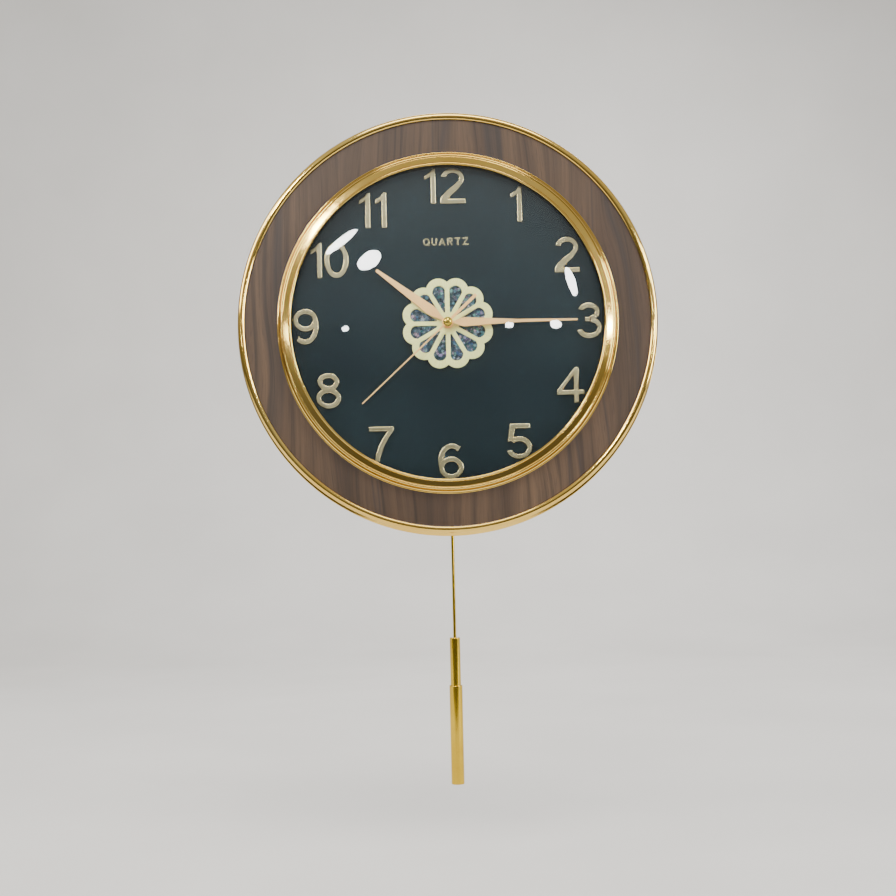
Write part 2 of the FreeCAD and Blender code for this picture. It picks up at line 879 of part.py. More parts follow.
def second_hand_cap():
    back = dim.second_out + dim.hand_thickness
    radius = dim.cap_radius
    collet = dim.second_arbor + 0.9
    front = back + dim.cap_height
    crown = (radius * radius + dim.cap_height * dim.cap_height) / (2 * dim.cap_height)
    profile = [
        (collet, back),
        (radius, back, crown),
        (0, front),
        (0, dim.second_out + 1.3),
        (collet, dim.second_out + 1.3),
    ]
    return place(turned("second_hand_cap", profile))


# Structure behind the dial.


def back_housing():
    """A moulded pan: a front plate that carries the dial and the wood, a tapered wall, two bosses."""
    plate_front = dim.dial_front_out - dim.dial_thickness
    step = dim.wood_inner_radius - 0.1
    profile = [
        (dim.housing_hole, dim.housing_plate_out),
        (dim.wood_outer_radius - dim.housing_wall, dim.housing_plate_out),
        (dim.wood_outer_radius - dim.housing_wall, dim.rim_back_out),
        (dim.housing_foot_radius - dim.housing_wall, 0),
        (dim.housing_foot_radius, 0),
        (dim.wood_outer_radius, dim.rim_back_out),
        (dim.wood_outer_radius, dim.wood_back_out),
        (step, dim.wood_back_out),
        (step, plate_front),
        (dim.housing_hole, plate_front),
    ]
    body = turned("back_housing", profile)
    bosses = new_sketch(body, "bosses", "XZ_Plane", dim.plate_thickness)
    for side in (-1, 1):
        draw_circle(bosses, side * dim.plate_screw_spread, dim.hanger_height, dim.boss_radius)
    pad(body, bosses, dim.housing_plate_out - dim.plate_thickness + 1)
    pilots = new_sketch(body, "pilots", "XZ_Plane", dim.plate_thickness)
    for side in (-1, 1):
        draw_circle(pilots, side * dim.plate_screw_spread, dim.hanger_height, dim.screw_radius)
    cut(body, pilots, 10)
    notch = new_sketch(body, "notch", "XZ_Plane", -1)
    half = dim.notch_width / 2
    draw_box(notch, -half, -dim.rim_lip_radius, half, -170)
    cut(body, notch, dim.notch_depth + 1)
    cut_circle_of_holes(
        body, "rim_holes", dim.screw_radius + 0.1, dim.rim_screw_circle, RIM_SCREW_START,
        dim.housing_plate_out, 6,
    )
    cut_circle_of_holes(
        body, "bezel_holes", dim.screw_radius + 0.1, dim.bezel_screw_circle, BEZEL_SCREW_START,
        dim.housing_plate_out, 4,
    )
    return place(body)


def ring_of_screws(label, circle, start, length):
    """Six pan-head screws driven from the back."""
    body = new_body(label)
    head_back = dim.housing_plate_out - dim.screw_head
    head = new_sketch(body, "heads", "XZ_Plane", head_back, turn=start)
    draw_circle(head, circle, 0, dim.screw_head_radius)
    heads = pad(body, head, dim.screw_head)
    repeat_around(body, heads, head, DIAL_SCREWS)
    shank = new_sketch(body, "shanks", "XZ_Plane", dim.housing_plate_out, turn=start)
    draw_circle(shank, circle, 0, dim.screw_radius)
    repeat_around(body, pad(body, shank, length), shank, DIAL_SCREWS)
    recess = new_sketch(body, "recess", "XZ_Plane", head_back, turn=start)
    long = dim.screw_slot_length / 2
    wide = dim.screw_slot_width / 2
    draw_box(recess, circle - long, -wide, circle + long, wide)
    repeat_around(body, cut(body, recess, 1), recess, DIAL_SCREWS)
    return place(body)


def hanger_plate():
    body = new_body("hanger_plate")
    half = dim.plate_width / 2
    add_box(
        body, "blank", -half, -dim.plate_height / 2, half, dim.plate_height / 2,
        0, dim.plate_thickness,
    )
    cut_disc(body, "keyhole", dim.keyhole_radius, 0, dim.plate_thickness)
    slot = dim.keyhole_slot / 2
    cut_box(body, "slot", -slot, 0, slot, dim.keyhole_rise, 0, dim.plate_thickness)
    cut_disc(body, "slot_end", slot, 0, dim.plate_thickness, z=dim.keyhole_rise)
    for side, name in ((-1, "left"), (1, "right")):
        x = side * dim.plate_screw_spread
        cut_disc(body, f"{name}_head", dim.screw_head_radius + 0.1, 0, dim.plate_screw_head, x=x)
        cut_disc(body, f"{name}_hole", dim.screw_radius + 0.1, 0, dim.plate_thickness, x=x)
    return place(body, z=dim.hanger_height)


def hanger_screws():
    body = new_body("hanger_screws")
    for side, name in ((-1, "left"), (1, "right")):
        x = side * dim.plate_screw_spread
        add_disc(body, f"{name}_head", dim.screw_head_radius, 0, dim.plate_screw_head, x=x)
        add_disc(
            body, f"{name}_shank", dim.screw_radius, dim.plate_screw_head, 9, x=x
        )
        long = dim.screw_slot_length / 2
        wide = dim.screw_slot_width / 2
        cut_box(body, f"{name}_recess", x - long, -wide, x + long, wide, 0, 0.6)
    return place(body, z=dim.hanger_height)


# Teeth, directions and places of the movement's arbors, in the plane of the dial.


def on_arbor(distance, degrees):
    angle = math.radians(degrees)
    return distance * math.cos(angle), distance * math.sin(angle)


SECONDS_WHEEL_TEETH = 50
FIFTH_WHEEL_TEETH = 48
FIFTH_PINION_TEETH = 10
THIRD_WHEEL_TEETH = 64
CENTRE_WHEEL_TEETH = 60
CANNON_TEETH = 12
MINUTE_WHEEL_TEETH = 36
MINUTE_PINION_TEETH = 10
HOUR_WHEEL_TEETH = 40
PINION_TEETH = 8
THIRD_DIRECTION = -20
FIFTH_DIRECTION = 200
ROTOR_DIRECTION = 235
MINUTE_DIRECTION = -85


def apart(module, wheel, pinion):
    """Distance between the arbors of a wheel and a pinion with these numbers of teeth."""
    return module * ((wheel + pinion) / 2)


third_x, third_z = on_arbor(
    apart(dim.third_module, THIRD_WHEEL_TEETH, PINION_TEETH), THIRD_DIRECTION
)
fifth_x, fifth_z = on_arbor(
    apart(dim.fifth_module, SECONDS_WHEEL_TEETH, FIFTH_PINION_TEETH), FIFTH_DIRECTION
)
rotor_reach_x, rotor_reach_z = on_arbor(
    apart(dim.rotor_module, FIFTH_WHEEL_TEETH, PINION_TEETH), ROTOR_DIRECTION
)
rotor_x = fifth_x + rotor_reach_x
rotor_z = fifth_z + rotor_reach_z
minute_x, minute_z = on_arbor(
    apart(dim.minute_module, MINUTE_WHEEL_TEETH, CANNON_TEETH), MINUTE_DIRECTION
)
magnet_z = -(dim.pivot_drop + dim.magnet_drop)

lid_front = dim.lid_back_out + dim.lid_thickness
cavity_front = dim.case_front_out - dim.case_wall
bearing = dim.arbor_radius + dim.running_gap


def movement_front_case():
    """A tub, open at the back, with ribs that part the battery, the train and the pendulum drive."""
    body = new_body("movement_front_case")
    half = dim.case_width / 2
    depth = dim.case_front_out - lid_front
    add_box(body, "block", -half, -dim.case_bottom, half, dim.case_top, lid_front, depth)
    inner = half - dim.case_wall
    floor = cavity_front - lid_front
    rooms = (
        ("battery_room", dim.battery_room_floor, dim.case_top - dim.case_wall),
        ("train_room", dim.train_room_floor, dim.train_room_top),
        ("drive_room", dim.case_wall - dim.case_bottom, dim.drive_room_top),
    )
    for name, bottom, top in rooms:
        cut_box(body, name, -inner, bottom, inner, top, lid_front, floor)
    add_disc(
        body, "coil_post", dim.drive_post_radius, cavity_front - dim.drive_coil_depth,
        dim.drive_coil_depth + 0.4, z=magnet_z,
    )
    cut_disc(body, "bushing_hole", dim.bushing_radius, cavity_front - 1, 4)
    for name, x, z in (("third", third_x, third_z), ("minute", minute_x, minute_z)):
        cut_disc(body, f"{name}_bearing", bearing, cavity_front, 0.9, x=x, z=z)
    return place(body)


def movement_rear_case():
    """The lid: an opening for the battery, a way through for the knob's arbor, and blind bearings."""
    body = new_body("movement_rear_case")
    half = dim.case_width / 2
    add_box(
        body, "lid", -half, -dim.case_bottom, half, dim.case_top,
        dim.lid_back_out, dim.lid_thickness,
    )
    reach = dim.battery_opening / 2
    side = half - dim.case_wall - 0.1
    cut_box(
        body, "battery_opening", -side, dim.battery_height - reach,
        side, dim.battery_height + reach, dim.lid_back_out, dim.lid_thickness,
    )
    cut_disc(
        body, "knob_hole", bearing, dim.lid_back_out, dim.lid_thickness, x=minute_x, z=minute_z
    )
    cut_disc(
        body, "pivot_seat", dim.pivot_radius, dim.lid_back_out, dim.lid_thickness - 0.4,
        z=-dim.pivot_drop,
    )
    blind = lid_front - 0.9
    for name, x, z in (
        ("seconds", 0, 0),
        ("third", third_x, third_z),
        ("fifth", fifth_x, fifth_z),
        ("rotor", rotor_x, rotor_z),
    ):
        cut_disc(body, f"{name}_bearing", bearing, blind, 0.9, x=x, z=z)
    return place(body)


def mounting_bushing():
    """The threaded tube that clamps the movement to the dial; the hour wheel's pipe turns in it."""
    body = new_body("mounting_bushing")
    add_disc(body, "tube", dim.bushing_radius, cavity_front - 0.8, 9.2)
    add_disc(body, "flange", 5.5, cavity_front - 0.8, 0.8)
    cut_disc(body, "bore", dim.hour_pipe + dim.running_gap, cavity_front - 1, 10)
    return place(body)


def dial_washer():
    body = new_body("dial_washer")
    add_disc(body, "ring", 7.2, dim.dial_front_out, 0.3, hole=dim.bushing_radius + 0.1)
    return place(body)


def dial_nut():
    body = new_body("dial_nut")
    sketch = new_sketch(body, "hexagon", "XZ_Plane", dim.dial_front_out + 0.3)
    corners = [on_arbor(6.4, 60 * index) for index in range(6)]
    draw_outline(sketch, corners)
    draw_circle(sketch, 0, 0, dim.bushing_radius)
    pad(body, sketch, 1.6)
    return place(body)


def train_plate():
    """The middle plate, with bearings for the fifth wheel and the rotor's shaft."""
    body = new_body("train_plate")
    out = dim.train_plate_out
    thickness = dim.train_plate_thickness
    add_box(body, "plate", -26, -19, 26, 14.8, out, thickness)
    for name, x, z, radius in (
        ("seconds", 0, 0, bearing),
        ("third", third_x, third_z, 2.4),
        ("fifth", fifth_x, fifth_z, bearing),
        ("rotor", rotor_x, rotor_z, bearing),
        ("minute", minute_x, minute_z, 1.2),
    ):
        cut_disc(body, f"{name}_hole", radius, out, thickness, x=x, z=z)
    return place(body)


# Wheels and pinions. A tooth is (addendum, dedendum, widths at pitch, tip and root): the heights in
# modules and the widths as shares of the angle from tooth to tooth.

WHEEL_TOOTH = (0.9, 1.3, 0.40, 0.16, 0.42)
PINION_TOOTH = (0.7, 1.3, 0.34, 0.20, 0.30)


def add_toothed_disc(body, name, teeth, module, tooth, out, thickness, phase):
    """A toothed disc with one tooth centred on the angle phase."""
    addendum, dedendum, at_pitch, at_tip, at_root = tooth
    share = math.tan(math.pi / teeth)
    pitch = module * (teeth / 2)
    tip = pitch + addendum * module
    root_radius = pitch - dedendum * module
    add_disc(body, f"{name}_root", root_radius, out, thickness)
    sketch = new_sketch(body, f"{name}_tooth", "XZ_Plane", out, turn=phase)
    foot = root_radius - 0.2 * module
    half_foot = root_radius * share * at_root
    half_pitch = pitch * share * at_pitch
    half_tip = tip * share * at_tip
    draw_outline(
        sketch,
        [
            (foot, -half_foot),
            (root_radius, -half_foot),
            (pitch, -half_pitch),
            (tip, -half_tip),
            (tip, half_tip),
            (pitch, half_pitch),
            (root_radius, half_foot),
            (foot, half_foot),
        ],
    )
    repeat_around(body, pad(body, sketch, thickness), sketch, teeth)


def facing(direction, teeth):
    """The phase of a disc whose gap faces back along direction."""
    return direction + 180 + 180 / teeth


def seconds_wheel():
    body = new_body("seconds_wheel")
    back = dim.arbor_back_out
    add_disc(body, "arbor", dim.second_arbor, back, dim.second_out + 1.1 - back)
    add_toothed_disc(
        body, "wheel", SECONDS_WHEEL_TEETH, dim.fifth_module, WHEEL_TOOTH,
        dim.seconds_wheel_out, dim.wheel_thickness, FIFTH_DIRECTION,
    )
    add_toothed_disc(
        body, "pinion", PINION_TEETH, dim.third_module, PINION_TOOTH,
        dim.seconds_pinion_out, 1.3, THIRD_DIRECTION + 180 / PINION_TEETH,
    )
    return place(body)


def fifth_wheel():
    body = new_body("fifth_wheel")
    add_disc(body, "arbor", dim.arbor_radius, dim.arbor_back_out, 5.0)
    add_toothed_disc(
        body, "pinion", FIFTH_PINION_TEETH, dim.fifth_module, PINION_TOOTH,
        dim.fifth_pinion_out, 1.2, facing(FIFTH_DIRECTION, FIFTH_PINION_TEETH),
    )
    add_toothed_disc(
        body, "wheel", FIFTH_WHEEL_TEETH, dim.rotor_module, WHEEL_TOOTH,
        dim.fast_wheel_out, dim.wheel_thickness, ROTOR_DIRECTION,
    )
    return place(body, x=fifth_x, z=fifth_z)


def motor_rotor():
    body = new_body("motor_rotor")
    add_disc(body, "shaft", dim.arbor_radius, dim.arbor_back_out, 8.4)
    add_toothed_disc(
        body, "pinion", PINION_TEETH, dim.rotor_module, PINION_TOOTH,
        dim.fast_wheel_out - 0.2, 1.2, facing(ROTOR_DIRECTION, PINION_TEETH),
    )
    return place(body, x=rotor_x, z=rotor_z)


def rotor_magnet():
    body = new_body("rotor_magnet")
    add_disc(
        body, "ring", dim.rotor_magnet_radius, dim.stator_out - 0.4, 2.4, hole=dim.arbor_radius
    )
    return place(body, x=rotor_x, z=rotor_z)


def third_wheel():
    body = new_body("third_wheel")
    add_disc(body, "arbor", dim.arbor_radius, dim.arbor_back_out, 14.1)
    add_toothed_disc(
        body, "wheel", THIRD_WHEEL_TEETH, dim.third_module, WHEEL_TOOTH,
        dim.fast_wheel_out, dim.wheel_thickness, THIRD_DIRECTION + 180,
    )
    add_toothed_disc(
        body, "pinion", PINION_TEETH, dim.centre_module, PINION_TOOTH,
        dim.slow_pinion_out, 1.3, facing(THIRD_DIRECTION, PINION_TEETH),
    )
    return place(body, x=third_x, z=third_z)


def centre_wheel():
    """Held on the cannon pinion's pipe by friction, so the hands can be set."""
    body = new_body("centre_wheel")
    add_toothed_disc(
        body, "wheel", CENTRE_WHEEL_TEETH, dim.centre_module, WHEEL_TOOTH,
        dim.centre_wheel_out, dim.wheel_thickness, THIRD_DIRECTION,
    )
    cut_disc(body, "bore", dim.minute_pipe, dim.centre_wheel_out, dim.wheel_thickness)
    return place(body)


def cannon_pinion():
    body = new_body("cannon_pinion")
    back = dim.slow_pinion_out
    length = dim.minute_out + 0.8 - back
    add_disc(body, "pipe", dim.minute_pipe, back, length)
    add_toothed_disc(
        body, "pinion", CANNON_TEETH, dim.minute_module, PINION_TOOTH,
        dim.cannon_pinion_out, 1.6, MINUTE_DIRECTION + 180 / CANNON_TEETH,
    )
    cut_disc(body, "bore", dim.second_arbor + dim.running_gap, back, length)
    return place(body)


def minute_wheel():
    body = new_body("minute_wheel")
    add_disc(body, "arbor", dim.arbor_radius, dim.knob_out + 1.2, 17.9)
    add_toothed_disc(
        body, "wheel", MINUTE_WHEEL_TEETH, dim.minute_module, WHEEL_TOOTH,
        dim.minute_wheel_out, dim.wheel_thickness, MINUTE_DIRECTION + 180,
    )
    add_toothed_disc(
        body, "pinion", MINUTE_PINION_TEETH, dim.hour_module, PINION_TOOTH,
        dim.minute_pinion_out, 1.8, facing(MINUTE_DIRECTION, MINUTE_PINION_TEETH),
    )
    return place(body, x=minute_x, z=minute_z)


def hour_wheel():
    body = new_body("hour_wheel")
    back = dim.hour_wheel_out - 0.1
    length = dim.hour_out + 0.9 - back
    add_disc(body, "pipe", dim.hour_pipe, back, length)
    add_toothed_disc(
        body, "wheel", HOUR_WHEEL_TEETH, dim.hour_module, WHEEL_TOOTH,
        dim.hour_wheel_out, 1.0, MINUTE_DIRECTION,
    )
    cut_disc(body, "bore", dim.minute_pipe + dim.running_gap, back, length)
    return place(body)


def setting_knob():
    """The knurled knob on the back that turns the minute wheel by hand."""
    body = new_body("setting_knob")
    add_disc(body, "knob", dim.knob_radius, dim.knob_out, dim.knob_thickness)
    flute = new_sketch(body, "flute", "XZ_Plane", dim.knob_out)
    draw_circle(flute, dim.knob_radius + 0.3, 0, 0.6)
    repeat_around(body, cut(body, flute, dim.knob_thickness), flute, 18)
    cut_disc(body, "bore", dim.arbor_radius, dim.knob_out + 1.2, 2)
    return place(body, x=minute_x, z=minute_z)


# Electrical pieces of the movement.


def battery():
    body = new_body("battery")
    half = dim.battery_length / 2
    for name, radius, start, length in (
        ("can", dim.battery_radius, -half, dim.battery_length - 1.2),
        ("stud", 2.6, half - 1.2, 1.2),
    ):
        sketch = new_sketch(body, name, "YZ_Plane", start)
        draw_circle(sketch, -dim.battery_out, dim.battery_height, radius)
        pad(body, sketch, length)
    return place(body)


def battery_contacts():
    """Two springy plates against the side walls, with soldering tails."""
    body = new_body("battery_contacts")
    for name, left in (("positive", 25.4), ("negative", -25.9)):
        add_box(body, name, left, 18, left + 0.5, 30, 20, 9)
    return place(body)


def circuit_board():
    body = new_body("circuit_board")
    front = dim.board_out + 1
    add_box(body, "board", 10, -31, 26, -20.6, dim.board_out, 1)
    add_disc(body, "chip", 3, front, 1.2, x=14.4, z=-25.6)
    add_box(body, "capacitor", 19, -24.2, 23.5, -22, front, 1.5)
    return place(body)


def quartz_crystal():
    body = new_body("quartz_crystal")
    sketch = new_sketch(body, "can", "YZ_Plane", 18.4)
    draw_circle(sketch, -24.5, -28, 1.05)
    pad(body, sketch, 6.2)
    return place(body)


def motor_stator():
    """Soft iron plate: one end surrounds the rotor's magnet, the long bar carries the coil."""
    body = new_body("motor_stator")
    sketch = new_sketch(body, "plate", "XZ_Plane", dim.stator_out)
    bottom = dim.stator_bottom
    draw_outline(
        sketch, [(-26, bottom), (8, bottom), (8, -20.2), (-11.2, -20.2), (-11.2, -5), (-26, -5)]
    )
    draw_box(sketch, -22, dim.stator_slot_bottom, 4, dim.stator_slot_top)
    draw_circle(sketch, rotor_x, rotor_z, dim.rotor_magnet_radius + 0.35)
    pad(body, sketch, dim.stator_thickness)
    return place(body)


def motor_coil():
    body = new_body("motor_coil")
    sketch = new_sketch(body, "winding", "YZ_Plane", dim.coil_left)
    back = dim.stator_out
    front = back + dim.stator_thickness
    bottom = dim.stator_bottom
    top = dim.stator_slot_bottom
    draw_circle(sketch, -(back + front) / 2, (bottom + top) / 2, dim.coil_radius)
    draw_box(sketch, -front, bottom, -back, top)
    pad(body, sketch, dim.coil_length)
    return place(body)


def pendulum_coil():
    """Flat coil that pushes the pendulum's magnet, on a post of the front case."""
    body = new_body("pendulum_coil")
    add_disc(
        body, "winding", dim.drive_coil_radius, cavity_front - dim.drive_coil_depth, 6,
        hole=dim.drive_post_radius,
    )
    return place(body, z=magnet_z)


# Pendulum.


def pivot_pin():
    body = new_body("pivot_pin")
    back = dim.pendulum_out - 2.4
    add_disc(body, "pin", dim.pivot_radius, back, lid_front - 0.4 - back)
    add_disc(body, "head", 1.9, back, 0.7)
    return place(body, z=-dim.pivot_drop)


def swing_arm():
    """Plastic arm with its hub on the pivot pin, a seat for the magnet and a peg for the rod."""
    body = new_body("swing_arm")
    plate_back = dim.pendulum_out + 0.8
    hub_back = dim.pendulum_out - 1.4
    add_disc(body, "hub", 4.0, hub_back, dim.lid_back_out - 0.5 - hub_back)
    foot = -dim.peg_drop
    add_box(body, "arm", -3.5, foot, 3.5, 0, plate_back, 2)
    add_disc(body, "magnet_seat", dim.magnet_radius + 1.5, plate_back, 2, z=-dim.magnet_drop)
    add_disc(body, "foot", 3.5, plate_back, 2, z=foot)
    add_disc(body, "peg", dim.peg_radius, plate_back - 2.6, 3, z=foot)
    cut_disc(body, "bore", dim.pivot_radius + dim.running_gap, hub_back, 8)
    return place(body, z=-dim.pivot_drop)


def drive_magnet():
    body = new_body("drive_magnet")
    add_disc(body, "disc", dim.magnet_radius, dim.pendulum_out + 2.8, 2.4)
    return place(body, z=magnet_z)


def upright(body, name, top, radius, length, hole=None):
    """A round bar or tube that hangs down from top in the pendulum's plane."""
    sketch = new_sketch(body, name, "XY_Plane", -(as_size(top) + length))
    draw_circle(sketch, 0, -dim.pendulum_out, radius)
    if hole is not None:
        draw_circle(sketch, 0, -dim.pendulum_out, hole)
    return pad(body, sketch, length)


def pendulum_rod():
    """Round rod with a flat eye at the top that hangs on the swing arm's peg."""
    body = new_body("pendulum_rod")
    eye_drop = dim.pivot_drop + dim.peg_drop
    back = dim.pendulum_out - 0.7
    upright(body, "rod", dim.rod_top, dim.rod_radius, dim.upper_tube_top + 8 - dim.rod_top)
    add_disc(body, "eye", 3.2, back, 1.4, z=-eye_drop)
    half = dim.rod_radius
    add_box(body, "neck", -half, -dim.rod_top - 2, half, -eye_drop - 2, back, 1.4)
    cut_disc(body, "eye_hole", dim.peg_radius, back, 1.4, z=-eye_drop)
    return place(body)


def capped_tube(label, radius, top, bottom, top_hole):
    """A tube closed at its upper end but for the bore that takes the piece above."""
    body = new_body(label)
    upright(body, "end", top, radius, dim.end_thickness, hole=top_hole)
    below = top + dim.end_thickness
    upright(body, "tube", below, radius, bottom - below, hole=radius - dim.tube_wall)
    return place(body)


def upper_tube():
    return capped_tube(
        "upper_tube", dim.upper_tube_radius, dim.upper_tube_top,
        dim.lower_tube_top + 6, dim.rod_radius,
    )


def lower_tube():
    return capped_tube(
        "lower_tube", dim.lower_tube_radius, dim.lower_tube_top,
        dim.pendulum_bottom, dim.upper_tube_radius,
    )


def bob_weight():
    """Steel slug pressed into the lower tube, flush with its open end but for a small recess."""
    body = new_body("bob_weight")
    radius = dim.lower_tube_radius - dim.tube_wall
    top = dim.pendulum_bottom - dim.slug_recess - dim.slug_length
    upright(body, "slug", top, radius, dim.slug_length)
    return place(body)


def build_all():
    pieces = [
        outer_rim(), wood_ring(), inner_bezel(), dome_glass(), glass_spacer_ring(), dial_plate(),
        *[numeral(hour) for hour in range(1, 13)],
        dial_word(), rosette_inlay(), rosette_frame(),
        hour_hand(), minute_hand(), second_hand(), second_hand_cap(),
        back_housing(),
        ring_of_screws("rim_screws", dim.rim_screw_circle, RIM_SCREW_START, 8.4),
        ring_of_screws("bezel_screws", dim.bezel_screw_circle, BEZEL_SCREW_START, 11.4),
        hanger_plate(), hanger_screws(),
        movement_front_case(), movement_rear_case(), mounting_bushing(), dial_washer(), dial_nut(),
        train_plate(), seconds_wheel(), fifth_wheel(), motor_rotor(), rotor_magnet(),
        third_wheel(), centre_wheel(), cannon_pinion(), minute_wheel(), hour_wheel(),
        setting_knob(), battery(), battery_contacts(), circuit_board(), quartz_crystal(),
        motor_stator(), motor_coil(), pendulum_coil(),
        pivot_pin(), swing_arm(), drive_magnet(), pendulum_rod(), upper_tube(), lower_tube(),
        bob_weight(),
    ]
    doc.recompute()
    return pieces


def check(pieces):
    """Stops if anything failed to build, or a cut removed nothing."""
    for thing in doc.Objects:
        if {"Invalid", "Error"} & set(thing.State):
            raise RuntimeError(f"{thing.Label} failed: {thing.State}")
    for before, feature in cuts:
        if feature.Shape.Volume >= before.Shape.Volume - 1e-6:
            raise RuntimeError(f"{feature.Label} cut nothing")
    for piece in pieces:
        if piece.Shape.isNull() or not piece.Shape.isValid():
            raise RuntimeError(f"{piece.Label} has no valid shape")


parts = build_all()
check(parts)
os.makedirs("parts", exist_ok=True)
for part in parts:
    part.Shape.exportStep(f"parts/{part.Label}.step")
print(len(parts), "parts written")
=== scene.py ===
"""Pendulum wall clock: walnut ring, gold rim and bezel, domed glass, black dial, brass pendulum.

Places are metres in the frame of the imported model: +Z up, the dial looks along -Y, and the wall's
surface is at y = 0. "out" is the distance from the wall, so a point's y is -out. Most pieces are
round about the hands' axis, which runs along Y through the middle of the dial. Profiles and outlines
are written in millimetres and turned into metres when their mesh is made.
"""

import json
import math

import bmesh
import bpy
import numpy as np
from mathutils import Matrix, Quaternion, Vector
from mathutils.geometry import delaunay_2d_cdt

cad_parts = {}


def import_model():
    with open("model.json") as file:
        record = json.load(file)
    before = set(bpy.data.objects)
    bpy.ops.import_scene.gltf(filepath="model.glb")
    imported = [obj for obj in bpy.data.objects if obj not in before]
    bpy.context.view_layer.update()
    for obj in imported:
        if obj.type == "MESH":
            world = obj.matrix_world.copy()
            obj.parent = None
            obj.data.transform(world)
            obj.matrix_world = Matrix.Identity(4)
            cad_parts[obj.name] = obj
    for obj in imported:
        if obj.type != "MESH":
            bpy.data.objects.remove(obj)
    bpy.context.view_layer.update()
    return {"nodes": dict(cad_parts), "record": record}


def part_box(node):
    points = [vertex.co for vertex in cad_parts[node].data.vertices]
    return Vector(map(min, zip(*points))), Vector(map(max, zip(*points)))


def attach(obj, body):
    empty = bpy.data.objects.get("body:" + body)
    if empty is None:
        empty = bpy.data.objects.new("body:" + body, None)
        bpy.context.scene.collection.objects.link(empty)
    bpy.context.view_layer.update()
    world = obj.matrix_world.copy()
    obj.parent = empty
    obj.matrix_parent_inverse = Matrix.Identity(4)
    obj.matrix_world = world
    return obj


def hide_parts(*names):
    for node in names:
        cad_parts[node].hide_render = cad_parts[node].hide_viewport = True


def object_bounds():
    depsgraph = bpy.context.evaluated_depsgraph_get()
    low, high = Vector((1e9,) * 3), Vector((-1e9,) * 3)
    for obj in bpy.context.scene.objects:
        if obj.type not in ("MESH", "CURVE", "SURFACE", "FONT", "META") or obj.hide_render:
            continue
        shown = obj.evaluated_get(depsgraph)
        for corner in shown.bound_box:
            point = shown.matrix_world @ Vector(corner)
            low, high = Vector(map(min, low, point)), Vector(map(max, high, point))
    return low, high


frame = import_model()
record = frame["record"]
nodes = frame["nodes"]
slot_of = {part["node"]: part["material_slot"] for part in record["subparts"]}
body_of = {
    node: body for body, members in record["behaviour"]["bodies"].items() for node in members
}


def middle(node):
    low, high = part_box(node)
    return (low + high) / 2


MM = 0.001
HANDS_AXIS = middle("dial_plate").z
PENDULUM_OUT = -middle("upper_tube").y


# Node trees ------------------------------------------------------------------------------------


def srgb(red, green, blue):
    """A colour given in 0 to 255, as the linear values that shaders take."""
    linear = [
        c / 12.92 if c <= 0.04045 else ((c + 0.055) / 1.055) ** 2.4
        for c in (red / 255, green / 255, blue / 255)
    ]
    return (*linear, 1.0)


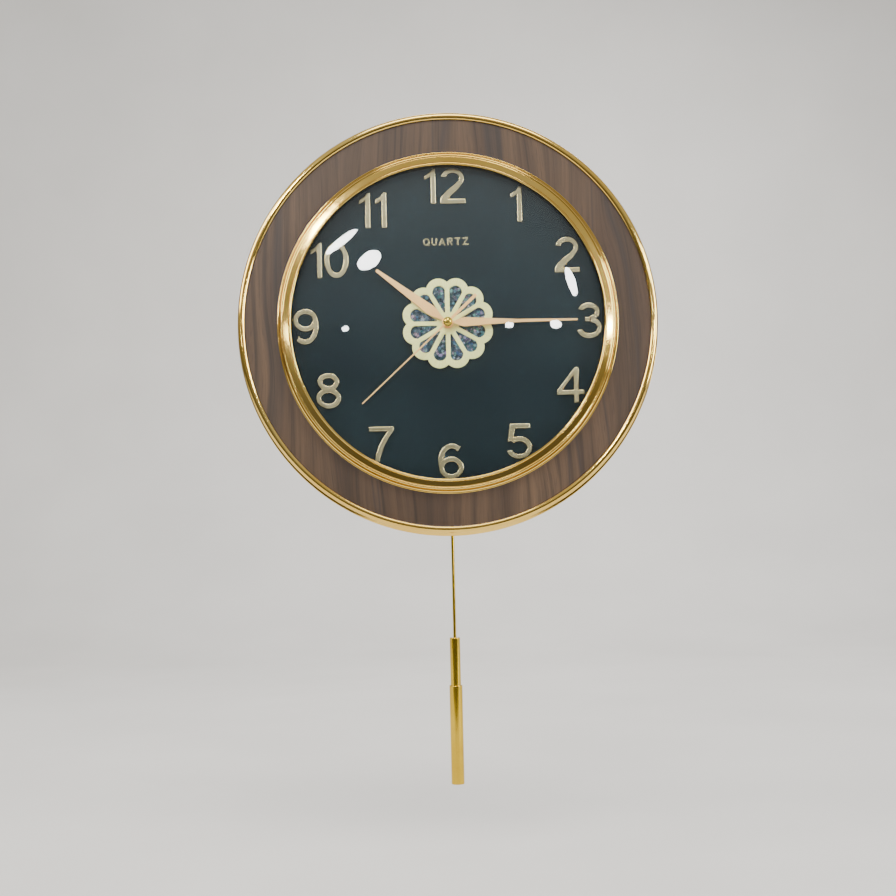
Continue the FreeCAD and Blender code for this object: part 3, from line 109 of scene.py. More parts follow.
class Paint:
    """A material with one Principled shader, and short ways to add the nodes that feed it."""

    def __init__(self, name, **settings):
        self.material = bpy.data.materials.new(name)
        self.material.use_nodes = True
        self.tree = self.material.node_tree
        self.shader = self.tree.nodes["Principled BSDF"]
        for setting, value in settings.items():
            self.shader.inputs[setting.replace("_", " ")].default_value = value
        self.place = self.add("TexCoord").outputs["Object"]

    def add(self, kind, inputs=(), **settings):
        """A node; inputs pairs a socket's name or number with a value or another node's output."""
        node = self.tree.nodes.new("ShaderNode" + kind)
        for setting, value in settings.items():
            setattr(node, setting, value)
        for socket, value in dict(inputs).items():
            self.feed(node.inputs[socket], value)
        return node

    def feed(self, socket, value):
        if isinstance(value, bpy.types.NodeSocket):
            self.tree.links.new(value, socket)
        else:
            socket.default_value = value

    def drive(self, setting, value):
        """Links a value that varies over the surface to the shader."""
        self.feed(self.shader.inputs[setting], value)

    def stretch(self, x, y, z, place=None):
        node = self.add("Mapping", {"Vector": place or self.place, "Scale": (x, y, z)})
        return node.outputs["Vector"]

    def noise(self, place, scale=1.0, detail=2.0, roughness=0.5, distortion=0.0):
        node = self.add(
            "TexNoise",
            {
                "Vector": place, "Scale": scale, "Detail": detail,
                "Roughness": roughness, "Distortion": distortion,
            },
        )
        return node.outputs["Fac"]

    def cells(self, place, scale, feature="F1"):
        return self.add("TexVoronoi", {"Vector": place, "Scale": scale}, feature=feature)

    def ramp(self, factor, *stops):
        """Colours along a factor; a stop is (position, colour) or (position, number)."""
        node = self.add("ValToRGB", {"Fac": factor})
        elements = node.color_ramp.elements
        while len(elements) < len(stops):
            elements.new(0.5)
        for element, (position, colour) in zip(elements, stops):
            element.position = position
            element.color = colour if isinstance(colour, tuple) else (colour,) * 3 + (1.0,)
        return node.outputs["Color"]

    def mix(self, factor, first, second, blend="MIX"):
        """Two colours mixed. Sockets 6 and 7 are the node's pair of colours."""
        node = self.add("Mix", {0: factor, 6: first, 7: second}, data_type="RGBA", blend_type=blend)
        return node.outputs[2]

    def math(self, operation, first, second):
        return self.add("Math", {0: first, 1: second}, operation=operation).outputs[0]

    def bump(self, height, depth, under=None):
        """A normal from a height of 0 to 1 that stands for depth metres."""
        inputs = {"Height": height, "Distance": depth, "Strength": 1.0}
        if under is not None:
            inputs["Normal"] = under
        return self.add("Bump", inputs).outputs["Normal"]

    def radial(self):
        """(distance from the hands' axis, unit direction from it), for marks that run with it."""
        shift = self.add("Mapping", {"Vector": self.place, "Location": (0, 0, -HANDS_AXIS)})
        flat = self.add(
            "VectorMath", {0: shift.outputs["Vector"], 1: (1, 0, 1)}, operation="MULTIPLY"
        )
        length = self.add("VectorMath", {0: flat.outputs["Vector"]}, operation="LENGTH")
        unit = self.add("VectorMath", {0: flat.outputs["Vector"]}, operation="NORMALIZE")
        return length.outputs["Value"], unit.outputs["Vector"]

    def around(self, across, along):
        """Places for noise that runs in streaks along the radius: fine across, coarse along."""
        distance, direction = self.radial()
        spread = self.add("VectorMath", {0: direction, "Scale": across}, operation="SCALE")
        reach = self.add("CombineXYZ", {"Y": self.math("MULTIPLY", distance, along)})
        total = self.add("VectorMath", {0: spread.outputs[0], 1: reach.outputs[0]}, operation="ADD")
        return total.outputs["Vector"]


# Materials, one for each slot of the record ----------------------------------------------------


def gold_plating():
    paint = Paint("gold_plating", Metallic=1.0)
    tone = paint.noise(paint.place, 9.0, 3.0)
    paint.drive(
        "Base Color",
        paint.ramp(tone, (0.35, (0.92, 0.64, 0.17, 1)), (0.7, (0.80, 0.50, 0.10, 1))),
    )
    haze = paint.noise(paint.place, 210.0, 6.0, 0.7)
    paint.drive("Roughness", paint.ramp(haze, (0.3, 0.055), (0.75, 0.13)))
    waves = paint.bump(paint.noise(paint.place, 38.0, 1.0), 0.05 * MM)
    peel = paint.bump(paint.noise(paint.place, 420.0, 2.0), 0.0016 * MM, waves)
    paint.drive("Normal", peel)
    return paint.material


def walnut_veneer():
    paint = Paint("walnut_veneer", IOR=1.5)
    drift = paint.noise(paint.stretch(9, 9, 2.2), 1.0, 2.0)
    bend = paint.add("CombineXYZ", {"X": paint.math("MULTIPLY", drift, 0.09)})
    bent = paint.add("VectorMath", {0: paint.place, 1: bend.outputs[0]}, operation="ADD").outputs[0]
    broad = paint.noise(paint.stretch(34, 34, 1.6, bent), 1.0, 3.0, 0.55)
    rings = paint.noise(paint.stretch(150, 150, 2.6, bent), 1.0, 4.0, 0.62)
    fibre = paint.noise(paint.stretch(900, 900, 14, bent), 1.0, 4.0, 0.7)
    pores = paint.noise(paint.stretch(1500, 1500, 60, bent), 1.0, 1.0, 0.5)
    base = paint.ramp(
        broad,
        (0.25, srgb(53, 38, 25)),
        (0.5, srgb(75, 56, 39)),
        (0.78, srgb(94, 72, 51)),
    )
    late = paint.ramp(rings, (0.34, 0.42), (0.47, 0.93), (0.62, 1.05))
    fine = paint.ramp(fibre, (0.28, 0.66), (0.68, 1.12))
    colour = paint.mix(0.9, base, late, "MULTIPLY")
    colour = paint.mix(0.8, colour, fine, "MULTIPLY")
    streak = paint.noise(paint.stretch(26, 26, 0.9, bent), 1.0, 1.0, 0.4)
    line = paint.ramp(streak, (0.575, 0.0), (0.60, 1.0), (0.625, 0.0))
    colour = paint.mix(paint.math("MULTIPLY", line, 0.8), colour, srgb(46, 37, 32))
    dots = paint.ramp(pores, (0.60, 0.0), (0.72, 1.0))
    colour = paint.mix(paint.math("MULTIPLY", dots, 0.5), colour, srgb(48, 35, 28))
    paint.drive("Base Color", colour)
    paint.drive("Roughness", paint.ramp(fibre, (0.3, 0.5), (0.7, 0.4)))
    grain = paint.bump(fibre, 0.02 * MM)
    paint.drive("Normal", paint.bump(paint.math("SUBTRACT", 1.0, dots), 0.03 * MM, grain))
    return paint.material


def dome_glass():
    paint = Paint("dome_glass", Transmission_Weight=1.0, IOR=1.46, Roughness=0.0)
    paint.shader.inputs["Base Color"].default_value = (0.93, 0.975, 0.965, 1)
    smear = paint.noise(paint.stretch(13, 13, 8), 1.0, 1.0, 0.4, 0.8)
    paint.drive("Normal", paint.bump(smear, 0.02 * MM))
    clear = paint.add("BsdfTransparent", {"Color": (0.95, 0.97, 0.965, 1)})
    lamp_ray = paint.add("LightPath").outputs["Is Shadow Ray"]
    both = paint.add("MixShader", {0: lamp_ray, 1: paint.shader.outputs[0], 2: clear.outputs[0]})
    output = paint.tree.nodes["Material Output"]
    paint.tree.links.new(both.outputs[0], output.inputs["Surface"])
    return paint.material


def black_plastic():
    paint = Paint("black_plastic", IOR=1.49)
    tone = paint.noise(paint.place, 30.0, 4.0)
    paint.drive("Base Color", paint.ramp(tone, (0.3, srgb(30, 30, 32)), (0.75, srgb(42, 42, 44))))
    scuff = paint.noise(paint.stretch(60, 60, 25), 1.0, 6.0, 0.65)
    paint.drive("Roughness", paint.ramp(scuff, (0.3, 0.42), (0.7, 0.6)))
    spark = paint.noise(paint.place, 1900.0, 2.0, 0.6)
    paint.drive("Normal", paint.bump(spark, 0.035 * MM))
    return paint.material


def dial_black():
    paint = Paint("dial_black", IOR=1.5)
    tone = paint.noise(paint.place, 12.0, 3.0)
    base = paint.ramp(tone, (0.3, (0.0045, 0.009, 0.0115, 1)), (0.75, (0.009, 0.0155, 0.0185, 1)))
    dust = paint.cells(paint.place, 130.0).outputs["Distance"]
    specks = paint.ramp(dust, (0.035, 1.0), (0.06, 0.0))
    patchy = paint.ramp(paint.noise(paint.place, 55.0, 2.0), (0.56, 0.0), (0.66, 0.25))
    base = paint.mix(paint.math("MULTIPLY", specks, patchy), base, (0.16, 0.16, 0.15, 1))
    paint.drive("Base Color", base)
    wipe = paint.noise(paint.stretch(40, 40, 14), 1.0, 5.0, 0.6, 0.8)
    paint.drive("Roughness", paint.ramp(wipe, (0.3, 0.05), (0.75, 0.12)))
    return paint.material


def plated_relief(name, light, dark, low, high):
    """Gold-plated raised figures: bright, faintly wavy, a little duller in places."""
    paint = Paint(name, Metallic=1.0)
    tone = paint.noise(paint.place, 90.0, 3.0)
    paint.drive("Base Color", paint.ramp(tone, (0.3, light), (0.7, dark)))
    haze = paint.noise(paint.place, 480.0, 5.0, 0.65)
    paint.drive("Roughness", paint.ramp(haze, (0.3, low), (0.7, high)))
    waves = paint.bump(paint.noise(paint.place, 160.0, 1.0), 0.006 * MM)
    paint.drive("Normal", paint.bump(paint.noise(paint.place, 1400.0, 2.0), 0.0008 * MM, waves))
    return paint.material


def numeral_gold():
    return plated_relief(
        "numeral_gold", (1.0, 0.84, 0.50, 1), (0.90, 0.72, 0.38, 1), 0.14, 0.24
    )


def rosette_gold():
    paint = Paint("rosette_gold", Metallic=1.0)
    streaks = paint.noise(paint.around(120, 60), 1.0, 3.0, 0.6)
    paint.drive(
        "Base Color",
        paint.ramp(streaks, (0.3, (0.84, 0.78, 0.28, 1)), (0.7, (0.98, 0.94, 0.44, 1))),
    )
    paint.drive("Roughness", paint.ramp(streaks, (0.3, 0.48), (0.7, 0.36)))
    paint.drive("Normal", paint.bump(streaks, 0.012 * MM))
    return paint.material


def shell_inlay():
    """Chips of sea shell in black resin, each chip with its own colour and lie."""
    paint = Paint("shell_inlay", IOR=1.55, Coat_Weight=1.0, Coat_Roughness=0.06)
    wobble = paint.add("TexNoise", {"Vector": paint.place, "Scale": 260.0, "Detail": 2.0})
    push = paint.add(
        "VectorMath", {0: wobble.outputs["Color"], 1: (-0.5, -0.5, -0.5)}, operation="ADD"
    )
    push = paint.add("VectorMath", {0: push.outputs[0], "Scale": 0.0022}, operation="SCALE")
    place = paint.add(
        "VectorMath", {0: paint.place, 1: push.outputs[0]}, operation="ADD"
    ).outputs[0]
    chips = paint.cells(place, 430.0)
    parts = paint.add("SeparateColor", {"Color": chips.outputs["Color"]})
    nacre = paint.ramp(
        parts.outputs["Red"],
        (0.0, (0.010, 0.016, 0.028, 1)),
        (0.30, (0.012, 0.030, 0.055, 1)),
        (0.48, (0.02, 0.13, 0.14, 1)),
        (0.60, (0.035, 0.06, 0.20, 1)),
        (0.72, (0.12, 0.34, 0.27, 1)),
        (0.82, (0.17, 0.10, 0.24, 1)),
        (0.92, (0.36, 0.22, 0.28, 1)),
        (1.0, (0.30, 0.42, 0.42, 1)),
    )
    ripple = paint.noise(paint.place, 900.0, 3.0, 0.7)
    nacre = paint.mix(paint.ramp(ripple, (0.35, 0.0), (0.7, 0.75)), nacre, (0.03, 0.05, 0.07, 1))
    gap = paint.cells(place, 430.0, feature="DISTANCE_TO_EDGE").outputs["Distance"]
    seam = paint.ramp(gap, (0.02, 0.0), (0.10, 1.0))
    paint.drive("Base Color", paint.mix(seam, (0.008, 0.010, 0.014, 1), nacre))
    paint.drive("Metallic", paint.math("MULTIPLY", seam, 0.75))
    paint.drive("Roughness", paint.ramp(parts.outputs["Green"], (0.0, 0.16), (1.0, 0.42)))
    lie = paint.add(
        "VectorMath", {0: chips.outputs["Color"], 1: (-0.5, -0.5, -0.5)}, operation="ADD"
    )
    lie = paint.add("VectorMath", {0: lie.outputs[0], "Scale": 0.55}, operation="SCALE")
    normal = paint.add("NewGeometry").outputs["Normal"]
    lie = paint.add("VectorMath", {0: normal, 1: lie.outputs[0]}, operation="ADD")
    lie = paint.add("VectorMath", {0: lie.outputs[0]}, operation="NORMALIZE")
    paint.drive("Normal", lie.outputs[0])
    return paint.material


def hand_rose_gold():
    paint = Paint("hand_rose_gold", Metallic=1.0)
    streaks = paint.noise(paint.around(260, 25), 1.0, 3.0, 0.6)
    paint.drive(
        "Base Color",
        paint.ramp(streaks, (0.3, (0.96, 0.50, 0.17, 1)), (0.7, (1.0, 0.62, 0.27, 1))),
    )
    paint.drive("Roughness", paint.ramp(streaks, (0.3, 0.46), (0.7, 0.36)))
    paint.drive("Normal", paint.bump(streaks, 0.006 * MM))
    return paint.material


def drawn_metal(name, light, dark, low, high, fine=1500):
    """Metal drawn or brushed lengthways: faint upright lines in tone, gloss and height."""
    paint = Paint(name, Metallic=1.0)
    lines = paint.noise(paint.stretch(fine, fine, 9), 1.0, 3.0, 0.6)
    cloud = paint.noise(paint.place, 25.0, 3.0)
    paint.drive("Base Color", paint.ramp(cloud, (0.3, light), (0.75, dark)))
    paint.drive("Roughness", paint.ramp(lines, (0.3, low), (0.75, high)))
    paint.drive("Normal", paint.bump(lines, 0.0012 * MM))
    return paint.material


def polished_brass():
    return drawn_metal(
        "polished_brass", (0.78, 0.53, 0.05, 1), (0.58, 0.37, 0.03, 1), 0.09, 0.2
    )


def machined_brass():
    return drawn_metal(
        "machined_brass", (0.80, 0.62, 0.29, 1), (0.68, 0.50, 0.21, 1), 0.2, 0.38
    )


def steel():
    return drawn_metal("steel", (0.66, 0.66, 0.64, 1), (0.52, 0.52, 0.52, 1), 0.22, 0.42, 700)


def magnet():
    return drawn_metal("magnet", (0.30, 0.30, 0.31, 1), (0.20, 0.20, 0.21, 1), 0.3, 0.5, 500)


def copper_winding():
    """Enamelled wire: the turns lie side by side, with painted shade darkening the grooves between
    them.
    """
    paint = Paint("copper_winding", Metallic=1.0, Coat_Weight=0.6, Coat_Roughness=0.1)
    turns = paint.add(
        "TexWave", {"Vector": paint.place, "Scale": 1400.0, "Distortion": 0.6}
    ).outputs["Fac"]
    # Painted shade: the colour goes dark where the wave, and so the bump, is low, in the grooves
    # between turns.
    paint.drive(
        "Base Color",
        paint.ramp(turns, (0.1, (0.30, 0.10, 0.035, 1)), (0.8, (0.78, 0.35, 0.14, 1))),
    )
    paint.drive("Roughness", paint.ramp(turns, (0.0, 0.45), (1.0, 0.25)))
    paint.drive("Normal", paint.bump(turns, 0.05 * MM))
    return paint.material


def acetal_gear():
    paint = Paint("acetal_gear", IOR=1.48, Subsurface_Weight=0.15)
    paint.shader.inputs["Subsurface Radius"].default_value = (0.004, 0.004, 0.003)
    tone = paint.noise(paint.place, 160.0, 4.0)
    paint.drive(
        "Base Color", paint.ramp(tone, (0.3, srgb(222, 221, 212)), (0.7, srgb(238, 237, 230)))
    )
    flow = paint.noise(paint.around(40, 200), 1.0, 3.0)
    paint.drive("Roughness", paint.ramp(flow, (0.3, 0.35), (0.7, 0.5)))
    paint.drive("Normal", paint.bump(flow, 0.004 * MM))
    return paint.material


def circuit_board():
    paint = Paint("circuit_board", IOR=1.5, Coat_Weight=0.5, Coat_Roughness=0.2)
    lanes = paint.cells(paint.place, 700.0, feature="DISTANCE_TO_EDGE").outputs["Distance"]
    copper = paint.ramp(lanes, (0.10, 1.0), (0.14, 0.0))
    cloth = paint.noise(paint.stretch(2500, 2500, 2500), 1.0, 1.0)
    mask = paint.ramp(cloth, (0.3, srgb(26, 92, 52)), (0.7, srgb(34, 110, 64)))
    paint.drive("Base Color", paint.mix(copper, mask, srgb(66, 140, 84)))
    paint.drive("Roughness", paint.ramp(cloth, (0.3, 0.35), (0.7, 0.45)))
    paint.drive("Normal", paint.bump(copper, 0.03 * MM))
    return paint.material


def battery_wrap():
    """Printed sleeve: dark body, copper-coloured band near the stud, bare metal at both ends."""
    paint = Paint("battery_wrap", IOR=1.5, Coat_Weight=0.6, Coat_Roughness=0.12)
    low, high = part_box("battery")
    along = paint.add("SeparateXYZ", {"Vector": paint.place}).outputs["X"]
    share = paint.math("DIVIDE", paint.math("SUBTRACT", along, low.x), high.x - low.x)
    wear = paint.noise(paint.place, 300.0, 5.0, 0.7)
    sleeve = paint.ramp(wear, (0.3, srgb(24, 27, 33)), (0.8, srgb(36, 40, 48)))
    band = paint.ramp(wear, (0.3, srgb(176, 108, 58)), (0.8, srgb(196, 128, 74)))
    bare = paint.ramp(wear, (0.3, srgb(168, 168, 166)), (0.8, srgb(196, 196, 192)))
    in_band = paint.ramp(share, (0.70, 0.0), (0.702, 1.0))
    is_bare = paint.math(
        "ADD",
        paint.ramp(share, (0.02, 1.0), (0.024, 0.0)),
        paint.ramp(share, (0.955, 0.0), (0.959, 1.0)),
    )
    colour = paint.mix(in_band, sleeve, band)
    paint.drive("Base Color", paint.mix(is_bare, colour, bare))
    paint.drive("Metallic", paint.math("MAXIMUM", is_bare, paint.math("MULTIPLY", in_band, 0.7)))
    paint.drive("Roughness", paint.ramp(wear, (0.3, 0.25), (0.8, 0.4)))
    paint.drive("Normal", paint.bump(wear, 0.01 * MM))
    return paint.material


MAKERS = (
    gold_plating, walnut_veneer, dome_glass, black_plastic, dial_black, numeral_gold, rosette_gold,
    shell_inlay, hand_rose_gold, polished_brass, machined_brass, steel, copper_winding, magnet,
    acetal_gear, circuit_board, battery_wrap,
)
finishes = {make.__name__: make() for make in MAKERS}


# Meshes ----------------------------------------------------------------------------------------

# Steps in which each small corner or edge is rounded.
ROUND_STEPS = 4
# Edges that turn by more than this many degrees stay sharp.
METAL_CREASE = 35
FIGURE_CREASE = 50


def arc(start, finish, radius, steps=8):
    """Points of the arc from start to finish. A positive radius bulges to the right of its way."""
    (x1, y1), (x2, y2) = start, finish
    chord = math.hypot(x2 - x1, y2 - y1)
    reach = math.sqrt(max(radius * radius - chord * chord / 4, 0))
    side = 1 if radius > 0 else -1
    x = (x1 + x2) / 2 - side * reach * (y2 - y1) / chord
    y = (y1 + y2) / 2 + side * reach * (x2 - x1) / chord
    first = math.atan2(y1 - y, x1 - x)
    turn = math.atan2(y2 - y, x2 - x) - first
    turn = math.remainder(turn, 2 * math.pi)
    angles = [first + turn * step / steps for step in range(steps + 1)]
    return [(x + abs(radius) * math.cos(a), y + abs(radius) * math.sin(a)) for a in angles]


def softened(corners):
    """A closed profile whose corners (x, y, radius) are rounded. Points without a radius stay."""
    points = []
    for index, corner in enumerate(corners):
        here = Vector(corner[:2])
        radius = corner[2] if len(corner) > 2 else 0
        if radius <= 0:
            points.append(tuple(here))
            continue
        before = (Vector(corners[index - 1][:2]) - here).normalized()
        after = (Vector(corners[(index + 1) % len(corners)][:2]) - here).normalized()
        half = before.angle(after) / 2
        reach = radius / math.tan(half)
        centre = here + (before + after).normalized() * (radius / math.sin(half))
        first = here + before * reach - centre
        last = here + after * reach - centre
        turn = first.angle_signed(last)
        for step in range(ROUND_STEPS + 1):
            share = step / ROUND_STEPS
            points.append(tuple(centre + rotated(first, -turn * share)))
    return points


def rotated(vector, angle):
    cos, sin = math.cos(angle), math.sin(angle)
    return Vector((vector.x * cos - vector.y * sin, vector.x * sin + vector.y * cos))


def shaded(mesh, crease):
    """Smooth faces that break at edges turning by more than crease degrees."""
    body = bmesh.new()
    body.from_mesh(mesh)
    bmesh.ops.remove_doubles(body, verts=body.verts, dist=1e-6)
    bmesh.ops.dissolve_degenerate(body, edges=body.edges, dist=1e-7)
    bmesh.ops.recalc_face_normals(body, faces=body.faces)
    for face in body.faces:
        face.smooth = True
    for edge in body.edges:
        edge.smooth = edge.is_manifold and edge.calc_face_angle() < math.radians(crease)
    body.to_mesh(mesh)
    body.free()
    return mesh


def weighted(thing):
    """Bakes area-weighted normals into the mesh, so a flat beside a small round stays flat."""
    modifier = thing.modifiers.new("normals", "WEIGHTED_NORMAL")
    modifier.keep_sharp = True
    modifier.weight = 80
    graph = bpy.context.evaluated_depsgraph_get()
    mesh = bpy.data.meshes.new_from_object(thing.evaluated_get(graph))
    thing.modifiers.clear()
    thing.data = mesh


def stand_in(mesh, node, crease=METAL_CREASE):
    """The finished piece that is shown instead of a CAD node, on its body and in its finish."""
    piece = bpy.data.objects.new(node + "_piece", shaded(mesh, crease))
    bpy.context.scene.collection.objects.link(piece)
    weighted(piece)
    piece.data.materials.clear()
    piece.data.materials.append(finishes[slot_of[node]])
    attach(piece, body_of[node])
    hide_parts(node)


def spun(profile, segments, upright=False):
    """A mesh turned from (radius, out) about the hands' axis, or (radius, z) about the pendulum."""
    mesh = bpy.data.meshes.new("spun")
    body = bmesh.new()
    rings = []
    for radius, along in profile:
        count = segments if radius > 1e-7 else 1
        ring = []
        for index in range(count):
            angle = 2 * math.pi * index / segments
            side, up = radius * math.sin(angle), radius * math.cos(angle)
            if upright:
                place = (side, up - PENDULUM_OUT, along)
            else:
                place = (side, -along, HANDS_AXIS + up)
            ring.append(body.verts.new(place))
        rings.append(ring)
    ends_meet = len(rings[0]) > 1 and len(rings[-1]) > 1
    pairs = list(zip(rings, rings[1:]))
    if ends_meet:
        pairs.append((rings[-1], rings[0]))
    for first, second in pairs:
        for index in range(segments):
            following = (index + 1) % segments
            corners = [first[index % len(first)], first[following % len(first)]]
            corners += [second[following % len(second)], second[index % len(second)]]
            unique = list(dict.fromkeys(corners))
            if len(unique) > 2:
                body.faces.new(unique)
    body.to_mesh(mesh)
    body.free()
    return mesh


def in_metres(points):
    return [tuple(value * MM for value in point) for point in points]


def joined(*meshes):
    """One mesh from several."""
    body = bmesh.new()
    for mesh in meshes:
        body.from_mesh(mesh)
    mesh = bpy.data.meshes.new("joined")
    body.to_mesh(mesh)
    body.free()
    return mesh


# The round metalwork, the wood and the glass ---------------------------------------------------

RIM_SEGMENTS = 360
WOOD_SEGMENTS = 240
GLASS_SEGMENTS = 180
CAP_SEGMENTS = 64
GLASS_ROWS = 44
GLASS_THICKNESS = 2.5 * MM
GLASS_EDGE_OUT = 47.0 * MM


def outer_rim():
    """A crowned band in front, a groove behind it, and a thin lip at the back."""
    bore, groove, lip, back = 191.75, 197.0, 201.0, 22.0
    crown = arc((198.0, 41.3), (192.4, 43.0), 4.2, 12)
    profile = [
        (bore, back, 0.2), (lip, back, 0.5), (lip, 23.9, 0.6), (197.5, 24.6, 0.5),
        (groove, 26.0, 0.6), (groove, 39.6, 0.9), (198.0, 40.4, 0.5), *crown, (bore, 42.4, 0.1),
    ]
    stand_in(spun(in_metres(softened(profile)), RIM_SEGMENTS), "outer_rim")


def inner_bezel():
    """A foot on the wood, a cove, a ridge, a flat band, and a bead beside the glass."""
    bore, body, foot, opening, seat = 152.6, 157.6, 161.0, 147.0, 41.05
    lip = arc((foot, 41.9), (159.9, 42.3), 0.75, 5)
    cove = arc((159.7, 42.25), (157.5, 45.9), -4.6, 10)
    ridge = arc((157.35, 47.3), (155.1, 48.2), 1.35, 8)
    bead = arc((149.0, 49.8), (opening, 49.0), 1.15, 8)
    profile = [
        (bore, 36.4), (body, 36.4), (body, seat), (foot, seat, 0.2),
        *lip, *cove, *ridge,
        (154.75, 48.35, 0.2), (154.55, 49.1, 0.35), (149.45, 49.75, 0.2), (149.15, 49.45),
        *bead, (opening, 48.3, 0.2), (bore, 47.15),
    ]
    stand_in(spun(in_metres(softened(profile)), RIM_SEGMENTS), "inner_bezel")


def wood_ring():
    inner, outer, back, front = 157.8, 191.6, 36.0, 41.0
    profile = [(inner, back), (outer, back), (outer, front, 0.35), (inner, front)]
    stand_in(spun(in_metres(softened(profile)), WOOD_SEGMENTS), "wood_ring")


def glass():
    """A cap of a sphere, and inside it the same cap of a sphere that is one thickness smaller."""
    low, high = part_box("dome_glass")
    radius = (high.x - low.x) / 2
    apex = -low.y
    rise = apex - GLASS_EDGE_OUT
    sphere = (radius * radius + rise * rise) / (2 * rise)
    centre = apex - sphere
    steps = [radius * row / GLASS_ROWS for row in range(GLASS_ROWS + 1)]

    def cap(size):
        return [(across, centre + math.sqrt(size**2 - across**2)) for across in steps]

    inside = cap(sphere - GLASS_THICKNESS)
    stand_in(spun(cap(sphere) + inside[::-1], GLASS_SEGMENTS), "dome_glass")


def second_hand_cap():
    dome = arc((4.5, 49.35), (0.0, 52.2), 4.72, 12)
    profile = [(0.0, 49.7), (1.5, 49.7), (1.5, 49.0), (4.3, 49.0), (4.5, 49.15), *dome]
    stand_in(spun(in_metres(profile), CAP_SEGMENTS), "second_hand_cap")


# Raised figures, rosette and hands -------------------------------------------------------------
#
# Each is cut from a plate: its outline is what is left of some overlapping shapes, in millimetres,
# when others are taken away, and its front edge is rounded.

NUMERAL_THICKNESS = 2.4
NUMERAL_ROUNDING = 0.95
WORD_THICKNESS = 0.6
WORD_ROUNDING = 0.22
ROSETTE_THICKNESS = 1.2
ROSETTE_ROUNDING = 0.38
HAND_THICKNESS = 0.6
HAND_ROUNDING = 0.2
# Points of a plate that are nearer to each other than this are merged.
MERGE_GAP = 0.02
# A point of an inner row may lie this much nearer to the outline than its row.
ROW_SLACK = 0.004


def left_over(solids, holes):
    """Points and directed edges round the solids less the holes, with material on the left."""
    points, faces = [], []
    for polygon in (*solids, *holes):
        faces.append(list(range(len(points), len(points) + len(polygon))))
        points += [Vector(point) for point in polygon]
    points, _, triangles, _, _, sources = delaunay_2d_cdt(points, [], faces, 0, 1e-4)
    sides = set()
    for triangle, source in zip(triangles, sources):
        if source and max(source) < len(solids):
            sides |= set(zip(triangle, triangle[1:] + triangle[:1]))
    return points, [(a, b) for a, b in sides if (b, a) not in sides]


def divided(points, edges, longest):
    """The same outline with its long edges split."""
    points = [np.array(point) for point in points]
    short = []
    for a, b in edges:
        parts = max(1, math.ceil(np.linalg.norm(points[b] - points[a]) / longest))
        chain = [a, *range(len(points), len(points) + parts - 1), b]
        points += [points[a] + (points[b] - points[a]) * step / parts for step in range(1, parts)]
        short += list(zip(chain, chain[1:]))
    used = sorted({index for edge in short for index in edge})
    place = {old: new for new, old in enumerate(used)}
    return np.array([points[old] for old in used]), [(place[a], place[b]) for a, b in short]


def depth_inside(points, starts, ends):
    """How far each point is from the outline; less than 0 outside it."""
    along = ends - starts
    reach = points[:, None, :] - starts[None]
    share = (reach * along).sum(2) / (along * along).sum(1)
    gap = reach - np.clip(share, 0, 1)[:, :, None] * along
    distance = np.sqrt((gap * gap).sum(2).min(1))
    above = points[:, None, 1] < np.stack([starts[:, 1], ends[:, 1]])[:, None, :]
    crosses = above[0] != above[1]
    rise = np.where(along[:, 1] == 0, 1, along[:, 1])
    hit = starts[:, 0] + reach[:, :, 1] / rise * along[:, 0]
    inside = (crosses & (points[:, None, 0] < hit)).sum(1) % 2 == 1
    return np.where(inside, distance, -distance)


def plate(solids, holes, height, edge, place, longest=1.2):
    """A mesh of this height whose front edge is rounded; place maps (x, y, height) to the frame."""
    rim, edges = divided(*left_over(solids, holes), longest)
    starts = rim[[a for a, _ in edges]]
    ends = rim[[b for _, b in edges]]
    along = (ends - starts) / np.linalg.norm(ends - starts, axis=1)[:, None]
    inward = np.stack([-along[:, 1], along[:, 0]], axis=1)
    turns = [math.pi / 2 * (step + 1) / ROUND_STEPS for step in range(ROUND_STEPS)]
    rows = []
    for turn in turns:
        offset = edge * (1 - math.cos(turn))
        tried = np.concatenate(
            [place_in + inward * offset for place_in in (starts, (starts + ends) / 2, ends)]
        )
        rows.append(tried[depth_inside(tried, starts, ends) > offset - ROW_SLACK])
    corners = np.concatenate([rim, *rows])
    points, _, triangles, _, _, _ = delaunay_2d_cdt(
        [Vector(corner) for corner in corners], edges, [], 0, MERGE_GAP
    )
    flat = np.array([tuple(point) for point in points])
    middles = flat[np.array(triangles)].mean(1)
    kept = [t for t, d in zip(triangles, depth_inside(middles, starts, ends)) if d > 0]
    depths = np.clip(depth_inside(flat, starts, ends), 0, edge)
    tops = height - edge + np.sqrt(edge * edge - (edge - depths) ** 2)
    body = bmesh.new()
    front = [body.verts.new(place(x, y, top)) for (x, y), top in zip(flat, tops)]
    back = [body.verts.new(place(x, y, 0)) for x, y in flat]
    sides = {side for t in kept for side in zip(t, t[1:] + t[:1])}
    for a, b, c in kept:
        body.faces.new((front[a], front[b], front[c]))
        body.faces.new((back[c], back[b], back[a]))
    for a, b in sides:
        if (b, a) not in sides:
            body.faces.new((front[b], front[a], back[a], back[b]))
    bmesh.ops.delete(body, geom=[v for v in body.verts if not v.link_faces], context="VERTS")
    mesh = bpy.data.meshes.new("plate")
    body.to_mesh(mesh)
    body.free()
    return mesh


def box_shape(left, bottom, right, top):
    return [(left, bottom), (right, bottom), (right, top), (left, top)]


def oval(x, y, across, up, start=0, sweep=360):
    """Points of an ellipse with half-widths across and up, every 5 degrees seen from its middle."""
    steps = math.ceil(sweep / 5)
    points = []
    for step in range(steps + (sweep < 360)):
        angle = math.radians(start + sweep * step / steps)
        reach = 1 / math.hypot(math.cos(angle) / across, math.sin(angle) / up)
        points.append((x + reach * math.cos(angle), y + reach * math.sin(angle)))
    return points


